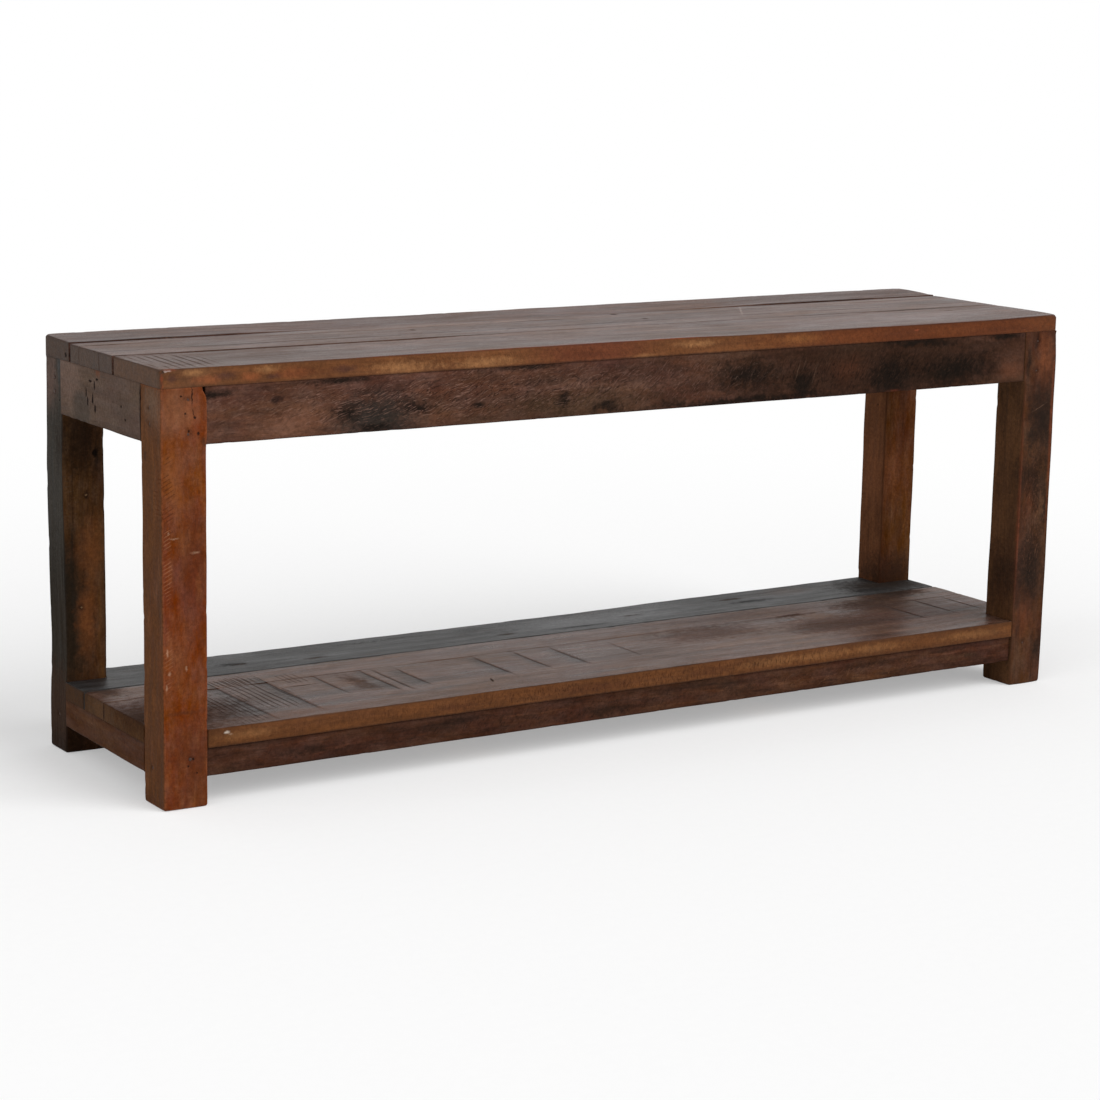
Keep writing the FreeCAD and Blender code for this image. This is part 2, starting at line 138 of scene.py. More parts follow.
def timber(name, low, high, finish, seed, stands_for, slot, worn=1.3, sway=0.5, corner=0,
           tight=(), hollows={}, nails=(), notches=(), cuts=(), step=4.5):
    """A worn timber between two corners, in millimetres.

    worn is the usual radius of its arrises, corner that of a board's corners seen from above,
    and sway how far its faces wander inwards. A neighbour has kept each tight side crisp, or a
    tight (side, z) only above that height.
    hollows gives a side more, as a depth for each place. Each nail (side, x, y, z) has a shallow
    pit, and each notch (x, x, y, y) is sawn out. cuts are the places along X of sharp steps."""
    low, high = np.array(low, float), np.array(high, float)
    near = [list(cuts), [], []]
    for side, *spot in nails:
        for axis in {0, 1, 2} - {SIDES[side][0]}:
            near[axis].append(spot[axis])
    for x0, x1, y0, y1 in notches:
        near[0] += [x0, x1]
        near[1] += [y0, y1]
    xs, ys, zs = (grid_lines(low[a], high[a], step, near[a]) for a in range(3))
    solid = np.ones((len(xs) - 1, len(ys) - 1), bool)
    mid_x, mid_y = ((line[1:] + line[:-1]) / 2 for line in (xs, ys))
    for x0, x1, y0, y1 in notches:
        solid &= ~np.outer((mid_x > x0) & (mid_x < x1), (mid_y > y0) & (mid_y < y1))
    places, faces = skin(xs, ys, zs, solid)

    # The arrises: uneven along their length, chipped where a second wave peaks, and rounder
    # within about 8 mm of the corners.
    chips, chip_size = 0.72, 1.5
    radius = worn * (1 + 0.5 * wander(seed, places, 70))
    radius += chip_size * np.clip(wander(seed + 1, places, 22) - chips, 0, 1) / (1 - chips)
    depth = np.sort(np.minimum(places - low, high - places), axis=1)
    radius += (1.6 + 0.8 * corner) * np.exp(-depth[:, 2] / 8)
    for side in tight:
        side, above = side if isinstance(side, tuple) else (side, -1)
        axis, far_end = SIDES[side]
        gone = high[axis] - places[:, axis] if far_end else places[:, axis] - low[axis]
        radius = np.minimum(radius, 0.5 + gone * 0.5 + np.maximum(above - places[:, 2], 0) * 0.3)
    radius = np.clip(radius, 0.4, 4.2 + 0.5 * corner)
    arris = np.clip(1 - depth[:, 1] / (radius + 1.6), 0, 1) * np.clip(radius / worn, 0, 1)
    shaped = places.copy()
    if corner:
        core_low, core_high = low[:2] + corner, high[:2] - corner
        for axis, far_end in (SIDES[side] for side in tight if side in ("front", "back")):
            (core_high if far_end else core_low)[axis] = (high if far_end else low)[axis]
        shaped[:, :2] = rounded(shaped[:, :2], core_low, core_high, corner)
    radius = radius[:, None]
    shaped = rounded(shaped, low + radius, high - radius, radius)

    # The faces: each wanders inwards, much less where it is butted, and has its own hollow.
    butted = 0.2
    for side, (axis, end) in SIDES.items():
        others = [a for a in range(3) if a != axis]
        inward = sway * (0.5 + 0.5 * wander(seed + 10 + axis * 2 + end, places[:, others], 150))
        if side in tight:
            inward *= butted
        if side in hollows:
            inward = inward + hollows[side](*places.T)
        share = (places[:, axis] - low[axis]) / (high[axis] - low[axis])
        shaped[:, axis] += -inward * share if end else inward * (1 - share)
    pit_radius, pit_depth = 2.8, 1.1
    for side, *spot in nails:
        axis, end = SIDES[side]
        others = [a for a in range(3) if a != axis]
        away = np.linalg.norm(places[:, others] - np.array(spot)[others], axis=1)
        face = high[axis] if end else low[axis]
        pit = np.clip(pit_radius - away, 0, 1) * (np.abs(places[:, axis] - face) < 0.01)
        shaped[:, axis] += (-1 if end else 1) * pit * pit_depth

    mesh = bpy.data.meshes.new(name)
    mesh.from_pydata((shaped * MM).tolist(), [], faces.tolist())
    mesh.attributes.new("arris", "FLOAT", "POINT").data.foreach_set("value", arris)
    mesh.shade_smooth()
    mesh.set_sharp_from_angle(angle=math.radians(50))
    mesh.materials.append(finish)
    piece = set_down(name, mesh)
    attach(piece, "root")
    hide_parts(stands_for)


def paint(red, green, blue):
    """A colour as a paint chart gives it, from 0 to 255, for a shader."""
    flat = [c / 255 for c in (red, green, blue)]
    return [c / 12.92 if c <= 0.04045 else ((c + 0.055) / 1.055) ** 2.4 for c in flat] + [1]


def bare_tree(owner):
    """The emptied node tree of a new material or world."""
    owner.use_nodes = True
    owner.node_tree.nodes.clear()
    return owner.node_tree


def add(tree, kind, sockets={}, prefix="ShaderNode", **settings):
    """Adds a node. A socket is given a value, or the output or list of outputs that feed it."""
    node = tree.nodes.new(prefix + kind)
    for name, value in settings.items():
        setattr(node, name, value)
    for name, value in sockets.items():
        feeds = [f for f in (value if isinstance(value, list) else [value])
                 if isinstance(f, bpy.types.NodeSocket)]
        for feed in feeds:
            tree.links.new(feed, node.inputs[name])
        if not feeds:
            node.inputs[name].default_value = value
    return node


def maths(tree, operation, *values, clamp=False):
    node = add(tree, "Math", dict(enumerate(values)), operation=operation, use_clamp=clamp)
    return node.outputs[0]


def vectors(tree, operation, *values):
    return add(tree, "VectorMath", dict(enumerate(values)), operation=operation).outputs[0]


def length_of(tree, vector):
    return add(tree, "VectorMath", {0: vector}, operation="LENGTH").outputs["Value"]


def noise(tree, vector, scale, detail, rough=0.5, colour=False):
    node = add(tree, "TexNoise", {"Vector": vector, "Scale": scale, "Detail": detail,
                                  "Roughness": rough})
    return node.outputs[1 if colour else 0]


def drawn(tree, where, along, across, detail, rough=0.5, colour=False):
    """Noise drawn out along the grain: so many waves to the metre along it and across it."""
    return noise(tree, vectors(tree, "MULTIPLY", where, (along, across, across)), 1, detail, rough,
                 colour)


def dot(tree, vector, way):
    return add(tree, "VectorMath", {0: vector, 1: way}, operation="DOT_PRODUCT").outputs["Value"]


def ramp(tree, value, low, high, to_low=0.0, to_high=1.0):
    """Turns the range low to high of a value into another range, with soft ends."""
    return add(tree, "MapRange", {"Value": value, "From Min": low, "From Max": high,
                                  "To Min": to_low, "To Max": to_high},
               interpolation_type="SMOOTHSTEP").outputs[0]


def over(tree, share, under, colour):
    """Lays a colour over another, by a share from 0 to 1."""
    return add(tree, "Mix", {0: share, 6: under, 7: colour}, data_type="RGBA").outputs[2]


def new_group(name, takes, gives):
    """An empty node group with named inputs and outputs."""
    tree = bpy.data.node_groups.new(name, "ShaderNodeTree")
    for label, kind in takes.items():
        tree.interface.new_socket(label, in_out="INPUT", socket_type="NodeSocket" + kind)
    for label, kind in gives.items():
        tree.interface.new_socket(label, in_out="OUTPUT", socket_type="NodeSocket" + kind)
    return tree, tree.nodes.new("NodeGroupInput").outputs, tree.nodes.new("NodeGroupOutput").inputs


# The grain of a board: growth rings round its heart, bands, streaks and fine fibres, all drawn
# out along the grain, with open pores as short dark dashes, and grime that has settled in them.
grain_group, take, give = new_group(
    "old_grain",
    {"Along": "Vector", "Heart": "Vector", "Dark": "Color", "Middle": "Color",
     "Light": "Color", "Ring": "Float", "Figure": "Float", "Uneven": "Float"},
    {"Colour": "Color", "Height": "Float", "Dull": "Float"})
g = grain_group
bend = vectors(g, "SUBTRACT", drawn(g, take["Along"], 3.2, 13, 4, colour=True), (0.5, 0.5, 0.5))
bent = vectors(g, "MULTIPLY_ADD", bend, (0.0, 0.03, 0.03), take["Along"])
from_heart = vectors(g, "MULTIPLY", vectors(g, "SUBTRACT", bent, take["Heart"]), (0.03, 1, 1))
rings = maths(g, "PINGPONG", maths(g, "DIVIDE", length_of(g, from_heart), take["Ring"]), 1.0)
bands, streaks = drawn(g, bent, 2.2, 38, 5, 0.65), drawn(g, bent, 11, 170, 5, 0.7)
fibres = drawn(g, bent, 70, 900, 3, 0.6)
patchy = drawn(g, take["Along"], 7, 15, 5, 0.65)
blotches = drawn(g, take["Along"], 32, 75, 4, 0.7)
# These four together lie round 0.755, which is brought to 0.5 before the colours are laid.
figure = maths(g, "MULTIPLY_ADD", rings, 0.16, maths(g, "MULTIPLY_ADD", bands, 0.5,
               maths(g, "MULTIPLY_ADD", streaks, 0.55, maths(g, "MULTIPLY", fibres, 0.3))))
figure = maths(g, "MULTIPLY_ADD", maths(g, "SUBTRACT", figure, 0.755), take["Figure"], 0.5)
tone = over(g, ramp(g, figure, 0.2, 0.5), take["Dark"], take["Middle"])
tone = over(g, ramp(g, figure, 0.5, 0.8), tone, take["Light"])
less, more = maths(g, "SUBTRACT", 1.0, take["Uneven"]), maths(g, "ADD", 1.0, take["Uneven"])
tone = add(g, "HueSaturation", {
    "Hue": ramp(g, patchy, 0.25, 0.75, 0.49, 0.51),
    "Saturation": ramp(g, blotches, 0.25, 0.75, 1.1, 0.9),
    "Value": maths(g, "MULTIPLY", ramp(g, patchy, 0.25, 0.75, less, more),
                   ramp(g, blotches, 0.28, 0.72, less, more)), "Color": tone}).outputs[0]
pores = ramp(g, fibres, 0.36, 0.28)
tone = over(g, maths(g, "MULTIPLY", pores, 0.5), tone, (0.012, 0.008, 0.006, 1))
height = maths(g, "MULTIPLY_ADD", streaks, 0.5, maths(g, "MULTIPLY_ADD", fibres, 0.3,
               maths(g, "MULTIPLY", rings, 0.1)))
g.links.new(tone, give["Colour"])
g.links.new(height, give["Height"])
g.links.new(maths(g, "MULTIPLY_ADD", streaks, 0.6, maths(g, "MULTIPLY", patchy, 0.5)),
            give["Dull"])

# A stain round one place, dense in its middle and breaking up into specks at its edge.
stain_group, take, give = new_group(
    "stain", {"Place": "Vector", "Grit": "Float", "At": "Vector", "Size": "Vector",
              "Broken": "Float", "Soft": "Float"}, {"Share": "Float"})
g = stain_group
reach = length_of(g, vectors(g, "DIVIDE", vectors(g, "SUBTRACT", take["Place"], take["At"]),
                             take["Size"]))
inside = maths(g, "MULTIPLY_ADD", take["Grit"], take["Broken"], maths(g, "SUBTRACT", 1.0, reach))
g.links.new(ramp(g, inside, 0.0, take["Soft"]), give["Share"])

# Saw marks: fine lines across the grain, broken here and there.
saw_group, take, give = new_group(
    "saw_marks", {"Along": "Vector", "Pitch": "Float", "Tilt": "Float", "Width": "Float"},
    {"Share": "Float"})
g = saw_group
axes = add(g, "SeparateXYZ", {0: take["Along"]}).outputs
slanted = maths(g, "MULTIPLY_ADD", axes[1], take["Tilt"], axes[0])
strokes = maths(g, "MULTIPLY_ADD", drawn(g, take["Along"], 40, 8, 2), 1.0,
                maths(g, "DIVIDE", slanted, take["Pitch"]))
lines = ramp(g, maths(g, "PINGPONG", strokes, 0.5), maths(g, "MULTIPLY", take["Width"], 0.5), 0.0)
broken = ramp(g, drawn(g, take["Along"], 60, 12, 4), 0.36, 0.52)
g.links.new(maths(g, "MULTIPLY", lines, broken), give["Share"])

# Scratches: short thin strokes that all lie at about one slant.
scratch_group, take, give = new_group(
    "scratches", {"Place": "Vector", "Facing": "Vector", "Slant": "Float", "Stroke": "Vector",
                  "Rare": "Float"}, {"Share": "Float"})
g = scratch_group
curl = vectors(g, "MULTIPLY_ADD", noise(g, take["Place"], 30, 2, colour=True), (0.014,) * 3,
               take["Place"])
turned = add(g, "VectorRotate", {"Vector": curl, "Axis": take["Facing"], "Angle": take["Slant"]})
strokes = noise(g, vectors(g, "DIVIDE", turned.outputs[0], take["Stroke"]), 1, 2, 0.6)
strokes = ramp(g, strokes, take["Rare"], maths(g, "ADD", take["Rare"], 0.07))
g.links.new(strokes, give["Share"])


class OldWood:
    """The finish of an old timber: its grain, then the marks it has gathered, then its wax.

    Places and sizes are in millimetres in the bench's own frame, and grain is X, Y or Z."""

    def __init__(self, name, grain, dark, middle, light, ring, heart, figure, uneven=0.2):
        self.material = bpy.data.materials.new(name)
        self.tree = t = bare_tree(self.material)
        coords = add(t, "TexCoord").outputs
        self.place, self.normal = coords["Object"], coords["Normal"]
        axes = add(t, "SeparateXYZ", {0: self.place}).outputs
        order = {"X": (0, 1, 2), "Y": (1, 0, 2), "Z": (2, 0, 1)}[grain]
        self.along = add(t, "CombineXYZ", {k: axes[o] for k, o in enumerate(order)}).outputs[0]
        wood = add(t, "Group", {
            "Along": self.along, "Heart": (0, heart[0] * MM, heart[1] * MM), "Dark": paint(*dark),
            "Middle": paint(*middle), "Light": paint(*light), "Ring": ring * MM,
            "Figure": figure, "Uneven": uneven}, node_tree=grain_group)
        self.colour, self.height, self.dull = (wood.outputs[k] for k in range(3))
        self.matt = 0.0
        self.mottle = noise(t, self.place, 260, 4, 0.75)
        self.grit = maths(t, "SUBTRACT", noise(t, self.place, 120, 6, 0.8), 0.5)
        self.frayed = {}
        self.layers = 0

    def ragged(self, size):
        """The place, shaken so that a stain of this size gets a ragged edge."""
        fine, coarse = 4, 26
        grade = fine if size < 7 else coarse
        if grade not in self.frayed:
            shake = noise(self.tree, self.place, 1.1 / (grade * MM), 4, 0.65, colour=True)
            shake = vectors(self.tree, "SUBTRACT", shake, (0.5, 0.5, 0.5))
            reach = (grade * MM,) * 3
            self.frayed[grade] = vectors(self.tree, "MULTIPLY_ADD", shake, reach, self.place)
        return self.frayed[grade]

    def share(self, at, size, soft, broken, lean=None):
        """How much of a blot lies at each place. A blot can lean over along X."""
        t, place = self.tree, self.ragged(min(size))
        if lean:
            start = sum(a * b for a, b in zip(at, lean)) * MM
            off = maths(t, "SUBTRACT", dot(t, place, lean), start)
            place = vectors(t, "SUBTRACT", place, add(t, "CombineXYZ", {0: off}).outputs[0])
        return add(t, "Group", {
            "Place": place, "Grit": self.grit, "At": Vector(at) * MM, "Size": Vector(size) * MM,
            "Broken": broken, "Soft": soft}, node_tree=stain_group).outputs[0]

    def lay(self, colour, share, strength, deep=0.0):
        """Lays a colour where share says. deep is how far it is cut in, in millimetres, and
        what is cut takes no polish."""
        t = self.tree
        self.colour = over(t, maths(t, "MULTIPLY", share, strength), self.colour, paint(*colour))
        if deep:
            self.height = maths(t, "MULTIPLY_ADD", share, -deep, self.height)
            self.matt = maths(t, "MULTIPLY_ADD", share, strength * 0.6, self.matt)

    def stain(self, colour, at, size, strength, soft, broken=1.2, deep=0.0, lean=None):
        self.lay(colour, self.share(at, size, soft, broken, lean), strength, deep)

    def brush(self, side, level, into=40):
        """A brush for one face, at its level. It takes the two places and the two sizes that
        lie in the face, and into is how far its stain soaks in."""
        axis = SIDES[side][0]

        def dab(colour, a, b, wide, tall, *how, into=into, **more):
            at, size = [a, b], [wide, tall]
            at.insert(axis, level)
            size.insert(axis, into)
            self.stain(colour, at, size, *how, **more)

        return dab

    def clouds(self, colour, strength, long, wide, level, deep=0.0):
        """Patches of another tone all over the timber, drawn out along its grain."""
        t = self.tree
        self.layers += 1
        where = vectors(t, "MULTIPLY_ADD", self.along, [1 / (c * MM) for c in (long, wide, wide)],
                        (self.layers * 7.3,) * 3)
        self.lay(colour, ramp(t, noise(t, where, 1, 6, 0.62), level - 0.04, level + 0.16), strength,
                 deep)

    def hole(self, at, radius):
        self.lay((26, 19, 16), self.share(at, (radius,) * 3, 0.5, 0.3), 0.9, 0.5)

    def side(self, colour, side, strength, bare=0.0):
        """Another colour on one side. The grain shows through it, and bare wood takes less
        polish."""
        t = self.tree
        facing = dot(t, self.normal, outward(side))
        share = maths(t, "MULTIPLY", ramp(t, facing, 0.35, 0.85), strength)
        tint = add(t, "HueSaturation", {"Value": ramp(t, self.dull, 0.35, 0.75, 0.72, 1.28),
                                        "Color": paint(*colour)}).outputs[0]
        self.colour = over(t, share, self.colour, tint)
        self.matt = maths(t, "MULTIPLY_ADD", share, bare, self.matt)

    def saw_marks(self, at, size, pitch, width, tilt, strength, deep, colour):
        """Fine cuts across the grain that the saw left in one area."""
        t = self.tree
        saw = add(t, "Group", {"Along": self.along, "Pitch": pitch * MM, "Tilt": tilt,
                               "Width": width}, node_tree=saw_group)
        share = maths(t, "MULTIPLY", saw.outputs[0], self.share(at, size, 0.4, 0.6))
        self.lay(colour, share, strength, deep)

    def saw_step(self, at, size, strength):
        """Where the saw stopped and bit again: a sharp line across a board, with shade painted on its
        left.
        """
        t, colour = self.tree, (34, 24, 20)
        past = maths(t, "SUBTRACT", dot(t, self.place, (1, 0, 0)), at[0] * MM)
        left = ramp(t, past, 0.5 * MM, -0.5 * MM)
        # Painted shade: a band darkened on the left of the line, where the board slopes down to the
        # step.
        shade = maths(t, "MULTIPLY", left, ramp(t, past, -size[0] * 1.5 * MM, 2 * MM))
        ends = self.share(at, (900, size[1] * 1.15, 40), 0.55, 0.6)
        self.lay(colour, maths(t, "MULTIPLY", shade, ends), strength)
        cut = maths(t, "MULTIPLY", left, ramp(t, past, -2.0 * MM, -0.6 * MM))
        self.lay(colour, maths(t, "MULTIPLY", cut, ends), strength * 0.7, 0.35)

    def scratches(self, colour, at, size, side, slant, stroke, rare, strength, deep=0.2):
        """Short strokes on one side, at a slant in degrees. stroke is their length and width."""
        t = self.tree
        facing = [abs(c) for c in outward(side)]
        long, thin = stroke[0] * MM, stroke[1] * MM
        marks = add(t, "Group", {
            "Place": self.place, "Facing": facing, "Slant": math.radians(slant), "Rare": rare,
            "Stroke": (long, thin, thin)}, node_tree=scratch_group)
        share = maths(t, "MULTIPLY", marks.outputs[0], self.share(at, size, 0.8, 1.0))
        self.lay(colour, share, strength, deep)

    def wax(self, arris, rubbed, dull=(0.4, 0.7), gloss=0.02):
        """Darkens the arrises and the dents with grime, and waxes the whole timber."""
        t, grime = self.tree, 0.2
        edge = add(t, "Attribute", attribute_name="arris").outputs["Fac"]
        patches = ramp(t, self.mottle, 0.3, 0.55)
        edge = maths(t, "MULTIPLY", ramp(t, edge, 0.15, 0.9), patches)
        self.colour = over(t, maths(t, "MULTIPLY", edge, rubbed), self.colour, paint(*arris))
        self.colour = add(t, "HueSaturation", {
            "Value": ramp(t, self.mottle, 0.3, 0.7, 1 - grime, 1 + grime),
            "Color": self.colour}).outputs[0]
        height = maths(t, "MULTIPLY_ADD", self.mottle, 0.25, self.height)
        bump = add(t, "Bump", {"Strength": 1.0, "Distance": MM, "Height": height})
        shader = add(t, "BsdfPrincipled", {
            "Base Color": self.colour,
            "Roughness": maths(t, "ADD", ramp(t, self.dull, 0.35, 0.75, *dull), self.matt,
                               clamp=True),
            "Specular IOR Level": gloss, "Normal": bump.outputs[0]})
        add(t, "OutputMaterial", {"Surface": shader.outputs[0]})
        return self.material


leg_boxes = {name: [[c / MM for c in corner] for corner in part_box(name)]
             for name in ("front_left_leg", "front_right_leg", "back_left_leg", "back_right_leg")}


def nails_in(leg):
    """Where the iron nails are in a leg: two for each apron and one for each rail."""
    low, high = leg_boxes[leg]
    row, end = leg.split("_")[:2]
    inset = 20
    face_y, near_y = (low[1], high[1] - inset) if row == "front" else (high[1], low[1] + inset)
    face_x, near_x = (low[0], high[0] - inset) if end == "left" else (high[0], low[0] + inset)
    in_long_tenons, in_end_tenons = (428, 392, 52.5), (418, 402, 40.5)
    return ([(row, near_x, face_y, z) for z in in_long_tenons]
            + [(end, face_x, near_y, z) for z in in_end_tenons])


def leg(name, wood, slot, seed, arris, rubbed, tight=(), **shape):
    """A leg, with the wood round each of its nails blackened by the iron."""
    spots = nails_in(name)
    for _, *spot in spots:
        wood.stain((28, 20, 17), spot, (7, 7, 7), 0.45, 1.0)
    timber(name + "_post", *leg_boxes[name], wood.wax(arris, rubbed), seed, name, slot,
           tight=["upper", *tight], nails=spots, **shape)


rust = OldWood("rust_leg", "Z", (78, 38, 20), (98, 51, 27), (114, 66, 38), 8, (-600, -190), 0.5,
               0.06)
rust.side((77, 48, 26), "left", 0.88)
on_front, on_left = rust.brush("front", FRONT), rust.brush("left", LEFT, 6)
on_front((80, 44, 28), -572, 8, 36, 36, 0.5, 1.0)
on_front((124, 84, 60), -578, 420, 34, 44, 0.6, 0.9, 0.6)
on_front((118, 68, 36), -584, 345, 20, 60, 0.5, 1.0, 0.6)
on_front((76, 35, 19), -560, 255, 24, 80, 0.6, 0.8, 0.6)
on_front((112, 64, 34), -582, 160, 26, 60, 0.45, 1.0, 0.6)
on_front((70, 37, 22), -560, 55, 40, 60, 0.65, 0.9, 0.6)
on_front((64, 36, 22), -575, 103, 34, 3, 0.45, 0.9, into=6)
on_front((52, 34, 26), -549, 384, 5, 8, 0.6, 0.8)
on_left((96, 68, 52), -128, 410, 26, 34, 0.5, 1.0)
rust.clouds((74, 38, 22), 0.3, 60, 16, 0.5)
rust.clouds((126, 80, 50), 0.25, 40, 12, 0.53)
on_left((56, 38, 28), -124, 405, 22, 26, 0.4, 1.0)
on_left((44, 30, 22), -112, 368, 5, 10, 0.6, 0.9)
on_left((98, 80, 66), -128, 424, 30, 30, 0.55, 0.9)
on_front((30, 20, 16), -562.5, 431, 0.8, 12, 0.9, 0.5, 0.3, 0.5, into=3)
on_front((40, 26, 20), -561, 414, 0.7, 5, 0.8, 0.5, 0.3, 0.4, lean=(0, 0, -0.3), into=3)
for x, z, r in ((-574.5, 431, 1.5), (-570, 413.7, 1.5), (-566, 395, 1.8), (-563.8, 53, 1.7),
                (-569.5, 46, 1.6), (-560, 37.4, 1.6), (-559.5, 409, 1.8), (-555.6, 392.6, 2.2)):
    rust.hole((x, FRONT, z), r)
for x, z, wide, tall in ((-583, 286, 7, 1.3), (-560, 270, 8, 2.2), (-590, 292, 2, 3),
                         (-592, 168, 1.6, 6), (-590, 146, 2.4, 3), (-593, 132, 1.4, 5),
                         (-571, 150, 1.6, 4)):
    on_front((158, 124, 100), x, z, wide, tall, 0.5, 0.8, 1.0, 0.2, into=3)
rust.saw_marks((-591, FRONT, 330), (7, 40, 60), 4.6, 0.5, -0.5, 0.5, 0.3, (60, 30, 18))
rust.saw_marks((-591, FRONT, 260), (6, 40, 50), 4.2, 0.45, -0.5, 0.3, -0.1, (160, 112, 80))
rust.saw_marks((-591, FRONT, 160), (6, 40, 40), 4.2, 0.45, -0.5, 0.25, -0.1, (150, 104, 74))
rust.scratches((70, 32, 18), (-572, FRONT, 230), (26, 40, 220), "front", 78, (16, 1.0), 0.62, 0.35)
leg("front_left_leg", rust, "rust_timber", 11, (118, 66, 40), 0.5,
    hollows={"right": hollow("Z", (0, 0), (300, -0.4), (375, -0.8), (395, -1.8), (427, -1.8),
                             (440, 3.4)),
             "back": hollow("Z", (0, 0), (220, 1.0), (440, 0))})

dark = OldWood("dark_leg", "Z", (40, 27, 19), (69, 43, 29), (90, 56, 37), 6, (540, -240), 0.9, 0.14)
dark.side((85, 57, 36), "left", 0.8)
on_front = dark.brush("front", FRONT)
dark.stain((36, 22, 16), (547, -125, 135), (20, 40, 70), 0.6, 1.0)
on_front((46, 32, 25), 584, 335, 34, 90, 0.85, 0.9, 1.0)
on_front((46, 32, 25), 572, 150, 44, 80, 0.8, 0.9, 1.0)
for x, z, wide, tall in ((554, 402, 8, 34), (580, 330, 24, 44), (562, 315, 10, 44),
                         (566, 262, 30, 38), (572, 140, 28, 54), (591, 44, 9, 34),
                         (589, 225, 8, 60)):
    on_front((30, 23, 19), x, z, wide, tall, 0.8, 1.0, into=30)
on_front((112, 64, 40), 580, 408, 18, 44, 0.6, 1.0)
on_front((34, 25, 20), 562, 352, 22, 40, 0.6, 1.0, into=30)
on_front((118, 60, 36), 594, 300, 4, 150, 0.5, 0.9, into=7)
on_front((100, 54, 34), 563, 232, 12, 40, 0.3, 1.0)
on_front((118, 62, 42), 549, 230, 3.0, 200, 0.5, 0.9, into=5)
on_front((42, 27, 19), 572, 262, 30, 60, 0.55, 1.0)
on_front((98, 54, 34), 565, 80, 22, 40, 0.45, 1.0)
dark.clouds((40, 28, 22), 0.4, 50, 14, 0.5)
on_front((112, 86, 70), 574, 347, 2.0, 7, 0.45, 0.9, deep=0.2, lean=(0, 0, 2.2), into=4)
dark.scratches((30, 22, 18), (572, FRONT, 230), (30, 40, 130), "front", 84, (14, 1.2), 0.57, 0.5)
dark.scratches((116, 78, 58), (572, FRONT, 215), (26, 40, 120), "front", 78, (12, 0.9), 0.59, 0.5)
for y, z in ((-118, 314), (-137, 330), (-134, 240)):
    dark.hole((547, y, z), 2.2)
leg("front_right_leg", dark, "dark_timber", 23, (58, 36, 25), 0.6, [("left", 378)],
    sway=0.2,
    hollows={"right": hollow("Z", (0, 0.6), (220, 0), (400, 0), (440, 1.3)),
             "left": hollow("Z", (0, 0.2), (300, 1.6), (374, 1.6), (380, 0), (440, 0))})

slate = OldWood("slate_leg", "Z", (38, 26, 18), (76, 50, 30), (96, 66, 40), 6, (-640, 60), 1.1)
slate.side((48, 46, 42), "left", 0.92)
on_left, on_front = slate.brush("left", LEFT), slate.brush("front", 107)
on_left((88, 70, 62), 138, 415, 30, 50, 0.85, 0.8, 0.8)
on_left((74, 74, 74), 114, 431, 9, 24, 0.5, 0.8, into=6)
on_left((34, 28, 20), 130, 150, 70, 140, 0.95, 0.6, 0.8)
slate.clouds((34, 31, 28), 0.4, 70, 12, 0.52)
on_left((48, 31, 20), 130, 36, 70, 80, 0.95, 0.6, 0.8)
on_left((34, 20, 10), 130, 2, 60, 34, 0.9, 0.8)
on_front((116, 68, 36), -570, 150, 18, 60, 0.65, 1.0)
slate.scratches((84, 84, SHELF), (LEFT, 130, 280), (40, 30, 150), "left", 90, (26, 1.2), 0.6, 0.5)
on_front((33, 21, 14), -575, 350, 34, 60, 0.85, 0.9)
on_front((112, 66, 34), -564, 230, 24, 60, 0.65, 1.0)
on_front((44, 28, 18), -590, 140, 14, 90, 0.25, 1.0)
on_front((16, 12, 10), -557.5, 335, 4.4, 7, 0.9, 0.6, deep=0.3, into=3)
for x, z in ((-569, 289), (-576, 164)):
    on_front((18, 13, 11), x, z, 6, 7, 0.75, 0.9, into=3)
    on_front((120, 92, 66), x, z, 1.6, 1.6, 0.8, 0.5, 0.3, into=3)
for y, z in ((121, 427), (128, 404), (114, 395)):
    slate.hole((LEFT, y, z), 2.2)
leg("back_left_leg", slate, "slate_timber", 37, (34, 29, 26), 0.5,
    hollows={"left": hollow("Z", (0, 0), (50, 0), (116, 2.4), (210, 1.2), (300, 0.3), (440, 1.6))})

brown = OldWood("brown_leg", "Z", (46, 26, 14), (74, 41, 20), (96, 57, 30), 7, (630, 200), 0.9)
brown.side((106, 67, 43), "left", 0.78)
brown.stain((128, 80, 52), (547, 130, 225), (40, 40, 80), 0.5, 1.0, 0.6)
brown.stain((124, 70, 40), (570, 107, 222), (40, 20, 70), 0.15, 1.0, 0.6)
brown.stain((42, 26, 17), (572, 107, 92), (60, 60, 44), 0.85, 0.9)
brown.clouds((50, 28, 17), 0.35, 60, 14, 0.52)
brown.stain((30, 17, 12), (570, 120, 372), (60, 60, 50), 0.7, 1.0)
brown.stain((50, 31, 22), (570, 120, 95), (60, 60, 36), 0.45, 1.0)
brown.hole((547, 124, 316), 2.0)
leg("back_right_leg", brown, "brown_timber", 41, (56, 34, 23), 0.5,
    hollows={"right": hollow("Z", (0, 0.4), (440, 0)), "left": hollow("Z", (0, -1.4), (440, -0.6))})

# Four aprons: boards on edge, tenoned into the legs, that carry the seat. The long ones stand a
# millimetre behind the legs' faces, and those at the ends are flush. The front one is nearly
# black with old smoke in patches, and short torn fibres run slantwise across it.

long_low, long_high = leg_boxes["front_left_leg"][1], leg_boxes["back_right_leg"][0]
apron_box, rail_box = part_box("front_apron"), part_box("front_rail")
apron_low, apron_high = apron_box[0].z / MM, apron_box[1].z / MM

